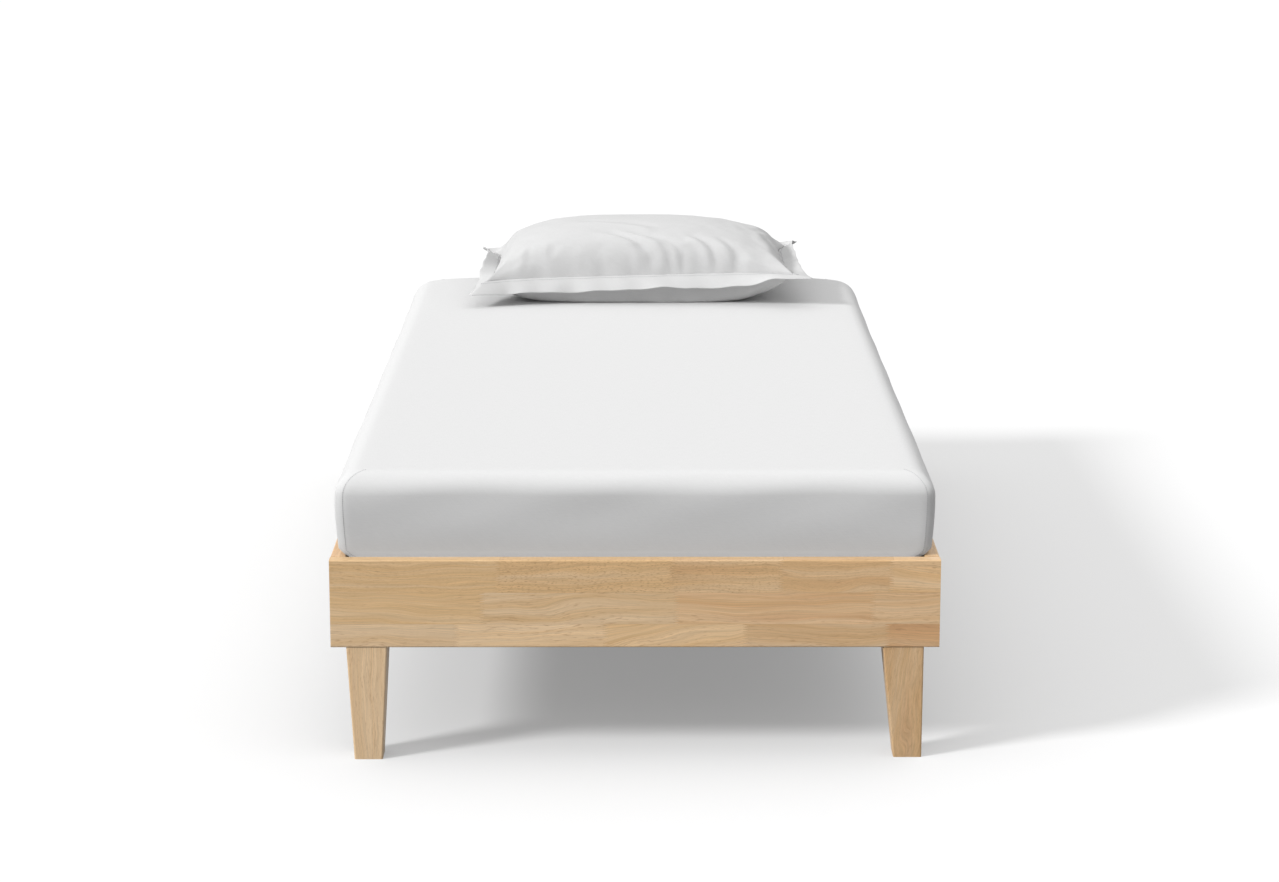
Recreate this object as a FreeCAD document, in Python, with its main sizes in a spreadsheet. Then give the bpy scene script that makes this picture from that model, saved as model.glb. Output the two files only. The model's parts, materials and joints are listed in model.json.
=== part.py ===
"""A low single bed: jointed rails on four raked legs, slats, a mattress in a fitted sheet and a pillow.

The origin lies on the floor under the middle of the bed. +Y points to the head, +X to the right as
seen from the foot, +Z up. Lengths are in millimetres.
"""
import FreeCAD
import Part
import Sketcher
import math
import os
import re

from FreeCAD import Placement, Rotation, Vector

# alias, value, what it measures
DIMENSIONS = [
    ("frame_width", 960, "across the frame, over the side rails"),
    ("frame_length", 2060, "along the frame, over the end rails"),
    ("rail_height", 142, "depth of every rail board"),
    ("rail_thickness", 24, "thickness of every rail board"),
    ("rail_round", 2.5, "rounding of the rails' edges"),
    ("leg_height", 185, "floor to the underside of the rails"),
    ("leg_top", 65, "side of a leg's square top"),
    ("leg_foot", 45, "side of a leg's square foot"),
    ("leg_round", 3, "rounding of a leg's upright edges"),
    ("leg_setback", 2, "end rail's face to the leg's upright face"),
    ("block_width", 65, "corner block, across the bed"),
    ("block_depth", 55, "corner block, along the bed"),
    ("block_bevel", 8, "bevel of the block's inner corner"),
    ("slat_level", 240, "floor to the underside of the slats"),
    ("ledge_width", 30, "slat ledge, across the bed"),
    ("ledge_depth", 40, "slat ledge, height"),
    ("ledge_gap", 6, "slat ledge to corner block"),
    ("slat_width", 80, "slat, along the bed"),
    ("slat_length", 900, "slat, across the bed"),
    ("slat_thickness", 20, "slat, height"),
    ("slat_ease", 2, "bevel of a slat's long edges"),
    ("slat_count", 14, "slats in the base"),
    ("slat_pitch", 144, "slat to slat"),
    ("strap_width", 30, "strap under the slats"),
    ("strap_thickness", 1.2, "strap under the slats"),
    ("strap_place", 370, "middle of the bed to a strap"),
    ("staple_width", 12, "over the crown of a staple"),
    ("staple_wire", 1.2, "side of a staple's square wire"),
    ("staple_depth", 10, "length of a staple's legs"),
    ("dowel_size", 8, "across a corner dowel"),
    ("dowel_length", 30, "corner dowel"),
    ("dowel_in_end_rail", 12, "how far a dowel enters the end rail"),
    ("dowel_level", 225, "floor to the lower dowel of a corner"),
    ("dowel_rise", 65, "lower dowel to upper dowel"),
    ("end_room", 1, "space in a hole past the end of a dowel or stud"),
    ("hanger_size", 8, "across a leg's hanger bolt"),
    ("hanger_in_leg", 45, "hanger bolt inside the leg"),
    ("hanger_in_block", 30, "hanger bolt inside the corner block"),
    ("leg_insert_size", 12, "across the threaded insert over a leg"),
    ("leg_insert_length", 22, "threaded insert over a leg"),
    ("bolt_size", 6, "across a side rail bolt"),
    ("bolt_head", 12, "across a side rail bolt's head"),
    ("bolt_head_height", 5, "side rail bolt's head"),
    ("bolt_reach", 39, "end rail's inner face to a side rail bolt"),
    ("bolt_level", 200, "floor to the lower side rail bolt"),
    ("bolt_rise", 27, "lower side rail bolt to the upper one"),
    ("rail_insert_size", 10, "across the threaded insert in a side rail"),
    ("rail_insert_length", 15, "threaded insert in a side rail"),
    ("screw_size", 5, "across a corner block screw"),
    ("screw_head", 9, "across a corner block screw's head"),
    ("screw_cap", 3.5, "height of a corner block screw's head"),
    ("screw_length", 70, "corner block screw, below its head"),
    ("screw_spread", 36, "between the two screws of a block"),
    ("screw_level", 213, "floor to a corner block screw"),
    ("ledge_screw_size", 4.5, "across a ledge screw"),
    ("ledge_screw_head", 9, "across a ledge screw's head"),
    ("ledge_screw_length", 44, "ledge screw"),
    ("ledge_screw_count", 6, "screws in each ledge"),
    ("ledge_screw_pitch", 350, "ledge screw to ledge screw"),
    ("mattress_width", 904, "mattress between the side rails"),
    ("mattress_length", 2004, "mattress along the bed"),
    ("mattress_top", 440, "floor to the top of the mattress"),
    ("mattress_shift", 3, "how far the mattress lies towards the foot"),
    ("mattress_corner", 30, "corner radius between the rails"),
    ("mattress_base_ease", 5, "bevel of the mattress's bottom edge"),
    ("lip_level", 325, "floor to where the mattress starts to spread over the rails"),
    ("lip_rise", 4, "how far the underside of the lip climbs"),
    ("lip_edge", 8, "bevel under the lip"),
    ("lip_reach", 16, "how far the lip lies over a side rail"),
    ("swell_level", 409, "floor to the widest line of the mattress"),
    ("swell_reach", 22, "how far the mattress swells out over a side rail"),
    ("shoulder_reach", 48, "how far in the top edge's rounding reaches"),
    ("shoulder_round", 22, "the tighter, outer radius of the top edge"),
    ("rim_reach", 28, "how far in the mattress's rim is drawn"),
    ("rim_overlap", 2, "how far the middle of the mattress reaches into its rim"),
    ("sheet_thickness", 1, "fitted sheet"),
    ("hem_width", 60, "fitted sheet turned under the mattress"),
    ("elastic_width", 10, "elastic along the sheet's hem"),
    ("pillow_width", 640, "pillow, across the bed"),
    ("pillow_depth", 385, "pillow, along the bed"),
    ("pillow_height", 158, "pillow, above the mattress"),
    ("pillow_seam", 28, "mattress to the pillow's seam"),
    ("pillow_lift", 0.3, "mattress to the underside of the pillow"),
    ("pillow_off_centre", 10, "middle of the bed to the pillow's middle, to the right"),
    ("pillow_place", 795, "middle of the bed to the pillow's middle, to the head"),
    ("case_thickness", 1, "pillowcase cloth"),
    ("flange_width", 38, "flat border round the pillowcase"),
    ("flange_thickness", 2, "border: two layers of cloth"),
    ("flange_droop", 8, "how far the border's edges hang below the seam"),
]

# the pillow's form: cuts along it, facets over the seam of each cut, and how plump it is
PILLOW_CUTS = 17
PILLOW_FACETS = 16
PILLOW_ROUNDNESS = 2.5
PILLOW_FULLNESS = 3.0
PILLOW_END_HEIGHT = 0.14
PILLOW_END_DEPTH = 0.86
BASE_FACINGS = (215, 270, 325)
# how far the pillowcase's border rises or sinks at cuts evenly spaced along it
BORDER_WAVE = (7.0, -1.0, -3.0, 1.0, 3.0, -1.0, 0.0, 10.0)

# places worked out from the driving dimensions, used by name in the formulas below
DERIVED = {
    "side_rail_half": "(frame_length / 2 - rail_thickness)",
    "leg_across": "(frame_width / 2 - rail_thickness - leg_top / 2)",
    "leg_along": "(frame_length / 2 - leg_setback - leg_top / 2)",
    "leg_in_block": "(leg_setback + leg_top / 2 - rail_thickness)",
    "block_inner": "(frame_width / 2 - rail_thickness - block_width)",
    "staple_leg": "(strap_place - (staple_width - staple_wire) / 2)",
    "mattress_base": "(slat_level + slat_thickness)",
    "slats_over_all": "(slat_pitch * (slat_count - 1))",
    "ledge_screws_over_all": "(ledge_screw_pitch * (ledge_screw_count - 1))",
    "ledge_middle": "(slat_level - ledge_depth / 2)",
}

# studs, dowels, bolts and screws are eight-sided rods, in eight-sided holes of the same size
SHANK_SIDES = 8
FIRST_CORNER = 180 / SHANK_SIDES

# what counts as a cut, in cubic millimetres; as the same place, in millimetres; as the same way, in
# radians; and as along an axis, for a direction of length one
MIN_CUT = 1e-3
SAME_PLACE = 0.1
SAME_WAY = 0.01
ALONG_AXIS = 0.9

SHEET_NAME = "Dims"

document = FreeCAD.newDocument("low_bed")
sheet = document.addObject("Spreadsheet::Sheet", SHEET_NAME)
ALIASES = {alias for alias, _, _ in DIMENSIONS}
subparts = []


def fill_sheet():
    """Write the driving dimensions into the sheet, one alias per row."""
    for row, (alias, value, meaning) in enumerate(DIMENSIONS, start=1):
        sheet.set(f"A{row}", str(value))
        sheet.setAlias(f"A{row}", alias)
        sheet.set(f"B{row}", meaning)
    document.recompute()


def rule(text):
    """Turn a formula of plain names into one that reads the sheet."""

    def spelled_out(match):
        word = match[0]
        if word in DERIVED:
            return rule(DERIVED[word])
        return f"{SHEET_NAME}.{word}" if word in ALIASES else word

    return re.sub(r"[a-z_]+", spelled_out, text)


def size(text):
    """Work out a formula of aliases as a number."""
    answer = sheet.evalExpression(rule(text))
    return float(getattr(answer, "Value", answer))


def bind(target, rules):
    """Bind properties of an object to formulas of aliases."""
    for name, text in rules.items():
        target.setExpression(name, rule(text))


def place(target, x="0", y="0", z="0", turn=0):
    """Put an object at a place given by formulas, turned about Z by a number of degrees."""
    target.Placement = Placement(Vector(0, 0, 0), Rotation(Vector(0, 0, 1), turn))
    bind(target, {"Placement.Base.x": x, "Placement.Base.y": y, "Placement.Base.z": z})


def name_subpart(target, node):
    """Give a finished sub-part its name and put it on the list to be written."""
    target.Label = node
    subparts.append(target)
    return target


def new_body(node):
    """Start a body whose label is the sub-part's name."""
    body = document.addObject("PartDesign::Body", node)
    return name_subpart(body, node)


def origin_plane(body, role):
    """Find one of the body's own origin planes or axes."""
    return next(item for item in body.Origin.OriginFeatures if item.Role == role)


def new_sketch(body, name, plane, offset):
    """Attach an empty sketch to an origin plane, moved by three formulas in its own axes."""
    sketch = body.newObject("Sketcher::SketchObject", name)
    sketch.AttachmentSupport = [(origin_plane(body, plane), "")]
    sketch.MapMode = "FlatFace"
    sketch.AttachmentOffset = Placement(Vector(0, 0, 0), Rotation())
    bind(sketch, {f"AttachmentOffset.Base.{axis}": text for axis, text in zip("xyz", offset)})
    return sketch


def pin_point(sketch, edge, end, x, y):
    """Hold one point of a sketch at two formulas from the sketch's origin."""
    for kind, text in (("DistanceX", x), ("DistanceY", y)):
        index = sketch.addConstraint(Sketcher.Constraint(kind, -1, 1, edge, end, size(text)))
        sketch.setExpression(f"Constraints[{index}]", rule(text))


def rectangle(body, name, plane, width, depth, offset=("0", "0", "0")):
    """Sketch a rectangle about its own origin: four lines, two driving lengths."""
    sketch = new_sketch(body, name, plane, offset)
    half_width, half_depth = size(width) / 2, size(depth) / 2
    corners = [
        Vector(-half_width, -half_depth, 0),
        Vector(half_width, -half_depth, 0),
        Vector(half_width, half_depth, 0),
        Vector(-half_width, half_depth, 0),
    ]
    for start, end in zip(corners, corners[1:] + corners[:1]):
        sketch.addGeometry(Part.LineSegment(start, end))
    for edge in range(4):
        sketch.addConstraint(Sketcher.Constraint("Coincident", edge, 2, (edge + 1) % 4, 1))
    for edge in (0, 2):
        sketch.addConstraint(Sketcher.Constraint("Horizontal", edge))
    for edge in (1, 3):
        sketch.addConstraint(Sketcher.Constraint("Vertical", edge))
    sketch.addConstraint(Sketcher.Constraint("Symmetric", 0, 1, 2, 1, -1, 1))
    across = sketch.addConstraint(Sketcher.Constraint("DistanceX", 0, 1, 0, 2, 2 * half_width))
    along = sketch.addConstraint(Sketcher.Constraint("DistanceY", 1, 1, 1, 2, 2 * half_depth))
    sketch.setExpression(f"Constraints[{across}]", rule(width))
    sketch.setExpression(f"Constraints[{along}]", rule(depth))
    return sketch


def eight_sided(body, name, plane, radii, offset=("0", "0", "0")):
    """Sketch regular eight-sided outlines, one inside another, measured over their corners.

    Shanks and the holes they fill share this outline, so each pair meets flat on flat.
    """
    sketch = new_sketch(body, name, plane, offset)
    for ring, radius in enumerate(radii):
        places = [
            (f"({radius}) * cos({angle})", f"({radius}) * sin({angle})")
            for angle in (FIRST_CORNER + 360 / SHANK_SIDES * side for side in range(SHANK_SIDES))
        ]
        corners = [Vector(size(x), size(y), 0) for x, y in places]
        first = SHANK_SIDES * ring
        for start, end in zip(corners, corners[1:] + corners[:1]):
            sketch.addGeometry(Part.LineSegment(start, end))
        for side, (x, y) in enumerate(places):
            following = first + (side + 1) % SHANK_SIDES
            sketch.addConstraint(Sketcher.Constraint("Coincident", first + side, 2, following, 1))
            pin_point(sketch, first + side, 1, x, y)
    return sketch


def bore(body, name, plane, diameter, depth, start, reverse, rows=(), mirrors=()):
    """Cut an eight-sided hole from a start point, and repeat it in rows and mirrors."""
    outline = eight_sided(body, f"{name}_sketch", plane, [f"({diameter}) / 2"], start)
    hole = pocket(body, name, outline, depth, reverse=reverse)
    if rows or mirrors:
        repeat(body, f"{name}_all", [hole], rows, mirrors)


def shank(body, name, plane, diameters, length, start, reverse=False):
    """Raise an eight-sided rod, or a tube where two diameters are given."""
    radii = [f"({diameter}) / 2" for diameter in diameters]
    outline = eight_sided(body, f"{name}_sketch", plane, radii, start)
    return pad(body, name, outline, length, reverse=reverse)


def closed_profile(body, name, plane, spans, offset=("0", "0", "0")):
    """Sketch a closed outline.

    Each span is (x, y, radius, bend): the point where it starts, and for an arc its radius and the
    side it bulges to as the outline is walked, +1 to the right and -1 to the left. A radius of None
    makes it a line.
    """
    sketch = new_sketch(body, name, plane, offset)
    points = [Vector(size(x), size(y), 0) for x, y, _, _ in spans]
    for edge, (start, end) in enumerate(zip(points, points[1:] + points[:1])):
        radius, bend = spans[edge][2], spans[edge][3]
        if radius is None:
            sketch.addGeometry(Part.LineSegment(start, end))
            continue
        chord = end - start
        sagitta = size(radius) - math.sqrt(size(radius) ** 2 - (chord.Length / 2) ** 2)
        outward = Vector(chord.y, -chord.x, 0).normalize() * (sagitta * bend)
        sketch.addGeometry(Part.Arc(start, (start + end) / 2 + outward, end))
    count = len(spans)
    for edge in range(count):
        following = (edge + 1) % count
        far_end = outline_ends(sketch, edge, points)[1]
        near_end = outline_ends(sketch, following, points)[0]
        sketch.addConstraint(Sketcher.Constraint("Coincident", edge, far_end, following, near_end))
    for edge, (x, y, radius, _) in enumerate(spans):
        if radius is not None:
            index = sketch.addConstraint(Sketcher.Constraint("Radius", edge, size(radius)))
            sketch.setExpression(f"Constraints[{index}]", rule(radius))
        pin_point(sketch, edge, outline_ends(sketch, edge, points)[0], x, y)
    return sketch


def outline_ends(sketch, edge, points):
    """Which of a sketch edge's two ends, 1 or 2, lies at the outline's start and which at its end."""
    first = sketch.Geometry[edge].StartPoint
    starts_here = first.distanceToPoint(points[edge]) < SAME_PLACE
    return (1, 2) if starts_here else (2, 1)


def pad(body, name, sketch, length, both_ways=False, reverse=False):
    """Raise a sketch into a solid."""
    feature = body.newObject("PartDesign::Pad", name)
    feature.Profile = sketch
    feature.Midplane = both_ways
    feature.Reversed = reverse
    bind(feature, {"Length": length})
    document.recompute()
    return feature


def pocket(body, name, sketch, length, reverse=False):
    """Cut a sketch into the body, and make sure that it took material away."""
    before = body.Shape.Volume
    feature = body.newObject("PartDesign::Pocket", name)
    feature.Profile = sketch
    feature.Reversed = reverse
    bind(feature, {"Length": length})
    document.recompute()
    if body.Shape.Volume >= before - MIN_CUT:
        raise RuntimeError(f"{body.Label}: {name} cut nothing")
    return feature


def edges_where(feature, test):
    """Name the edges of a feature whose middle and direction pass a test."""
    names = []
    for number, edge in enumerate(feature.Shape.Edges, start=1):
        middle = edge.valueAt((edge.FirstParameter + edge.LastParameter) / 2)
        along = (edge.Vertexes[-1].Point - edge.Vertexes[0].Point).normalize()
        if test(middle, along):
            names.append(f"Edge{number}")
    return names


def round_edges(body, name, feature, test, radius):
    """Round the edges of a feature that pass a test."""
    fillet = body.newObject("PartDesign::Fillet", name)
    fillet.Base = (feature, edges_where(feature, test))
    bind(fillet, {"Radius": radius})
    document.recompute()
    return fillet


def repeat(body, name, features, rows=(), mirrors=()):
    """Repeat features in rows, each an (axis, length, count), and in mirrors, each a plane."""
    pattern = body.newObject("PartDesign::MultiTransform", name)
    pattern.Originals = features
    steps = []
    for axis, length, count in rows:
        row = body.newObject("PartDesign::LinearPattern", f"{name}_row_{axis[0].lower()}")
        row.Direction = (origin_plane(body, axis), [""])
        bind(row, {"Length": length, "Occurrences": count})
        steps.append(row)
    for plane in mirrors:
        mirror = body.newObject("PartDesign::Mirrored", f"{name}_mirror_{plane[:2].lower()}")
        mirror.MirrorPlane = (origin_plane(body, plane), [""])
        steps.append(mirror)
    pattern.Transformations = steps
    body.Tip = pattern
    document.recompute()
    return pattern


def ease_edges(body, name, feature, test, width):
    """Cut a narrow bevel along the edges of a feature that pass a test."""
    bevel = body.newObject("PartDesign::Chamfer", name)
    bevel.Base = (feature, edges_where(feature, test))
    bind(bevel, {"Size": width})
    document.recompute()
    return bevel


def end_rail(node, side):
    """A board across an end of the bed. side is -1 at the foot and +1 at the head."""
    body = new_body(node)
    face = rectangle(body, f"{node}_face", "XZ_Plane", "frame_width", "rail_height")
    board = pad(body, f"{node}_board", face, "rail_thickness", both_ways=True)
    round_edges(body, f"{node}_edges", board, lambda middle, along: abs(along.x) > ALONG_AXIS, "rail_round")
    low, inner = "-leg_height - rail_height / 2", "-rail_thickness / 2"
    dowel = ("-(frame_width - rail_thickness) / 2", f"{low} + dowel_level", inner)
    bore(
        body, f"{node}_dowel_hole", "XZ_Plane", "dowel_size", "dowel_in_end_rail + end_room", dowel, True,
        [("Z_Axis", "dowel_rise", "2")], ["YZ_Plane"],
    )
    screw = ("-leg_across - screw_spread / 2", f"{low} + screw_level", inner)
    bore(
        body, f"{node}_screw_hole", "XZ_Plane", "screw_size", "screw_length - block_depth", screw, True,
        [("X_Axis", "screw_spread", "2")], ["YZ_Plane"],
    )
    middle = f"{side} * (frame_length - rail_thickness) / 2"
    place(body, "0", middle, "leg_height + rail_height / 2", 0 if side < 0 else 180)


def side_rail(node, side):
    """A board along the bed between the end rails. side is -1 on the left and +1 on the right."""
    body = new_body(node)
    face = rectangle(body, f"{node}_face", "YZ_Plane", "2 * side_rail_half", "rail_height")
    board = pad(body, f"{node}_board", face, "rail_thickness", both_ways=True)
    round_edges(body, f"{node}_edges", board, lambda middle, along: abs(along.y) > ALONG_AXIS, "rail_round")
    low, inner = "-leg_height - rail_height / 2", "rail_thickness / 2"
    dowel = ("0", f"{low} + dowel_level", "side_rail_half")
    bore(
        body, f"{node}_dowel_hole", "XZ_Plane", "dowel_size", "dowel_length - dowel_in_end_rail + end_room",
        dowel, False, [("Z_Axis", "dowel_rise", "2")], ["XZ_Plane"],
    )
    insert = ("bolt_reach - side_rail_half", f"{low} + bolt_level", inner)
    bore(
        body, f"{node}_insert_hole", "YZ_Plane", "rail_insert_size", "rail_insert_length", insert, False,
        [("Z_Axis", "bolt_rise", "2")], ["XZ_Plane"],
    )
    screw = ("-ledge_screws_over_all / 2", f"{low} + ledge_middle", inner)
    bore(
        body, f"{node}_screw_hole", "YZ_Plane", "ledge_screw_size", "ledge_screw_length - ledge_width",
        screw, False, [("Y_Axis", "ledge_screws_over_all", "ledge_screw_count")],
    )
    middle = f"{side} * (frame_width - rail_thickness) / 2"
    place(body, middle, "0", "leg_height + rail_height / 2", 0 if side < 0 else 180)


def corner_block(node, across, end):
    """A block in an inside corner, screwed to the end rail and bolted to the side rail.

    Its own Y runs from the end rail to the middle of the bed. across is -1 on the left and +1 on the
    right, end is -1 at the foot and +1 at the head.
    """
    body = new_body(node)
    face = rectangle(
        body, f"{node}_face", "XY_Plane", "block_width", "block_depth", ("0", "block_depth / 2", "0")
    )
    block = pad(body, f"{node}_block", face, "slat_level - leg_height")
    corner = Vector(across * end * size("block_width / 2"), size("block_depth"), 0)

    def inner_corner(middle, along):
        """The upright edge that points to the middle of the bed."""
        away = math.hypot(middle.x - corner.x, middle.y - corner.y)
        return abs(along.z) > ALONG_AXIS and away < SAME_PLACE

    ease_edges(body, f"{node}_bevel", block, inner_corner, "block_bevel")
    over_leg = ("0", "leg_in_block", "0")
    bore(body, f"{node}_stud_hole", "XY_Plane", "leg_insert_size", "hanger_in_block + end_room", over_leg, True)
    bolt = ("bolt_reach", "bolt_level - leg_height", "-block_width / 2")
    bore(
        body, f"{node}_bolt_hole", "YZ_Plane", "bolt_size", "block_width", bolt, True,
        [("Z_Axis", "bolt_rise", "2")],
    )
    screw = ("-screw_spread / 2", "screw_level - leg_height", "-block_depth")
    bore(
        body, f"{node}_screw_hole", "XZ_Plane", "screw_size", "block_depth", screw, True,
        [("X_Axis", "screw_spread", "2")],
    )
    place(body, f"{across} * leg_across", f"{end} * side_rail_half", "leg_height", 0 if end < 0 else 180)


def leg(node, across, end, turn):
    """A tapered leg with one upright face, its own -Y, and three raked ones.

    All four legs are alike. Each stands a quarter turn from the next, which turn gives in degrees.
    """
    body = new_body(node)
    top = rectangle(body, f"{node}_top", "XY_Plane", "leg_top", "leg_top")
    stock = pad(body, f"{node}_stock", top, "leg_height")
    back_rake = "atan((leg_top - leg_foot) / leg_height)"
    side_rake = "atan((leg_top - leg_foot) / (2 * leg_height))"
    raked = rake(body, f"{node}_back", stock, [Vector(0, 1, 0)], back_rake)
    raked = rake(body, f"{node}_sides", raked, [Vector(-1, 0, 0), Vector(1, 0, 0)], side_rake)
    round_edges(body, f"{node}_edges", raked, lambda middle, along: abs(along.z) > ALONG_AXIS, "leg_round")
    top_middle = ("0", "0", "leg_height")
    bore(body, f"{node}_stud_hole", "XY_Plane", "hanger_size", "hanger_in_leg + end_room", top_middle, False)
    place(body, f"{across} * leg_across", f"{end} * leg_along", "0", turn)


def rake(body, name, feature, facings, angle):
    """Lean the faces that look a given way inwards to the foot, by an angle, from the top face down."""
    top = None
    leaning = []
    for number, face in enumerate(feature.Shape.Faces, start=1):
        normal = face.normalAt(0, 0)
        if normal.z > ALONG_AXIS:
            top = f"Face{number}"
        if any(normal.getAngle(facing) < SAME_WAY for facing in facings):
            leaning.append(f"Face{number}")
    draft = body.newObject("PartDesign::Draft", name)
    draft.Base = (feature, leaning)
    draft.NeutralPlane = (feature, [top])
    draft.Reversed = True
    bind(draft, {"Angle": angle})
    before = feature.Shape.Volume
    document.recompute()
    if draft.Shape.Volume >= before:
        raise RuntimeError(f"{body.Label}: {name} leans outwards")
    return draft


def hanger_bolts():
    """Four studs: the lower half screwed into a leg, the upper half into a corner block's insert."""
    body = new_body("hanger_bolts")
    low_end = ("leg_across", "leg_along", "leg_height - hanger_in_leg")
    length = "hanger_in_leg + hanger_in_block"
    stud = shank(body, "hanger_bolt", "XY_Plane", ["hanger_size"], length, low_end)
    repeat(body, "hanger_bolts_all", [stud], mirrors=("XZ_Plane", "YZ_Plane"))


def leg_inserts():
    """Four threaded sleeves in the undersides of the corner blocks."""
    body = new_body("leg_inserts")
    low_end = ("leg_across", "leg_along", "leg_height")
    sizes = ["leg_insert_size", "hanger_size"]
    sleeve = shank(body, "leg_insert", "XY_Plane", sizes, "leg_insert_length", low_end)
    repeat(body, "leg_inserts_all", [sleeve], mirrors=("XZ_Plane", "YZ_Plane"))


def corner_dowels():
    """Eight dowels, two in each joint between a side rail and an end rail."""
    body = new_body("corner_dowels")
    tip = ("(frame_width - rail_thickness) / 2", "dowel_level", "-side_rail_half - dowel_in_end_rail")
    dowel = shank(body, "corner_dowel", "XZ_Plane", ["dowel_size"], "dowel_length", tip)
    repeat(
        body, "corner_dowels_all", [dowel], [("Z_Axis", "dowel_rise", "2")], ("XZ_Plane", "YZ_Plane")
    )


def corner_bolts():
    """Eight bolts from the corner blocks into the side rails."""
    body = new_body("corner_bolts")
    seat = ("side_rail_half - bolt_reach", "bolt_level", "block_inner")
    length = "block_width + rail_insert_length"
    bolt = shank(body, "corner_bolt", "YZ_Plane", ["bolt_size"], length, seat)
    head = shank(body, "corner_bolt_head", "YZ_Plane", ["bolt_head"], "bolt_head_height", seat, reverse=True)
    repeat(
        body, "corner_bolts_all", [bolt, head], [("Z_Axis", "bolt_rise", "2")], ("XZ_Plane", "YZ_Plane")
    )


def rail_inserts():
    """Eight threaded sleeves in the side rails' inner faces."""
    body = new_body("rail_inserts")
    mouth = ("side_rail_half - bolt_reach", "bolt_level", "block_inner + block_width")
    sizes = ["rail_insert_size", "bolt_size"]
    sleeve = shank(body, "rail_insert", "YZ_Plane", sizes, "rail_insert_length", mouth)
    repeat(
        body, "rail_inserts_all", [sleeve], [("Z_Axis", "bolt_rise", "2")], ("XZ_Plane", "YZ_Plane")
    )


def block_screws():
    """Eight screws from the corner blocks into the end rails."""
    body = new_body("block_screws")
    seat = ("leg_across - screw_spread / 2", "screw_level", "block_depth - side_rail_half")
    screw = shank(body, "block_screw", "XZ_Plane", ["screw_size"], "screw_length", seat, reverse=True)
    head = shank(body, "block_screw_head", "XZ_Plane", ["screw_head"], "screw_cap", seat)
    repeat(
        body, "block_screws_all", [screw, head], [("X_Axis", "screw_spread", "2")], ("XZ_Plane", "YZ_Plane")
    )


def slat_ledge(node, side):
    """A batten along a side rail that the slats lie on."""
    body = new_body(node)
    length = "2 * (side_rail_half - block_depth - ledge_gap)"
    face = rectangle(body, f"{node}_face", "YZ_Plane", length, "ledge_depth")
    pad(body, f"{node}_batten", face, "ledge_width", both_ways=True)
    screw = ("-ledge_screws_over_all / 2", "0", "ledge_width / 2")
    bore(
        body, f"{node}_screw_hole", "YZ_Plane", "ledge_screw_size", "ledge_width", screw, False,
        [("Y_Axis", "ledge_screws_over_all", "ledge_screw_count")],
    )
    middle = f"{side} * ((frame_width - ledge_width) / 2 - rail_thickness)"
    place(body, middle, "0", "ledge_middle", 0 if side < 0 else 180)


def ledge_screws():
    """The screws of both ledges."""
    body = new_body("ledge_screws")
    seat = ("-ledge_screws_over_all / 2", "ledge_middle", "frame_width / 2 - rail_thickness - ledge_width")
    screw = shank(body, "ledge_screw", "YZ_Plane", ["ledge_screw_size"], "ledge_screw_length", seat)
    head = shank(body, "ledge_screw_head", "YZ_Plane", ["ledge_screw_head"], "screw_cap", seat, reverse=True)
    row = ("Y_Axis", "ledge_screws_over_all", "ledge_screw_count")
    repeat(body, "ledge_screws_all", [screw, head], [row], ("YZ_Plane",))


def slat(node, number):
    """One slat, with the pin holes of its staples."""
    body = new_body(node)
    face = rectangle(body, f"{node}_face", "XY_Plane", "slat_length", "slat_width")
    board = pad(body, f"{node}_board", face, "slat_thickness")
    ease_edges(body, f"{node}_edges", board, lambda middle, along: abs(along.x) > ALONG_AXIS, "slat_ease")
    first = ("staple_leg", "0", "0")
    pin = rectangle(body, f"{node}_pin_sketch", "XY_Plane", "staple_wire", "staple_wire", first)
    hole = pocket(body, f"{node}_pin_hole", pin, "staple_depth - strap_thickness", reverse=True)
    legs = ("X_Axis", "staple_width - staple_wire", "2")
    repeat(body, f"{node}_pin_holes", [hole], [legs], ("YZ_Plane",))
    place(body, "0", f"slat_pitch * ({number} - (slat_count - 1) / 2)", "slat_level")


def slat_strap(node, side):
    """A textile strap under the slats, with the pin holes of its staples."""
    body = new_body(node)
    length = "slats_over_all + slat_width"
    face = rectangle(body, f"{node}_face", "XY_Plane", "strap_width", length)
    pad(body, f"{node}_band", face, "strap_thickness")
    first = ("(staple_wire - staple_width) / 2", "-slats_over_all / 2", "0")
    pin = rectangle(body, f"{node}_pin_sketch", "XY_Plane", "staple_wire", "staple_wire", first)
    hole = pocket(body, f"{node}_pin_hole", pin, "strap_thickness", reverse=True)
    legs = ("X_Axis", "staple_width - staple_wire", "2")
    row = ("Y_Axis", "slats_over_all", "slat_count")
    repeat(body, f"{node}_pin_holes", [hole], [legs, row])
    place(body, f"{side} * strap_place", "0", "slat_level - strap_thickness")


def strap_staples():
    """One staple through each strap into each slat."""
    body = new_body("strap_staples")
    half, wire = "staple_width / 2", "staple_wire"
    corners = [
        (f"-{half}", f"-{wire}"),
        (half, f"-{wire}"),
        (half, "staple_depth"),
        (f"{half} - {wire}", "staple_depth"),
        (f"{half} - {wire}", "0"),
        (f"{wire} - {half}", "0"),
        (f"{wire} - {half}", "staple_depth"),
        (f"-{half}", "staple_depth"),
    ]
    first = ("strap_place", "slat_level - strap_thickness", "slats_over_all / 2")
    profile = closed_profile(
        body, "staple_profile", "XZ_Plane", [(x, y, None, 0) for x, y in corners], first
    )
    staple = pad(body, "staple", profile, "staple_wire", both_ways=True)
    row = ("Y_Axis", "slats_over_all", "slat_count")
    repeat(body, "strap_staples_all", [staple], [row], ("YZ_Plane",))


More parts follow.
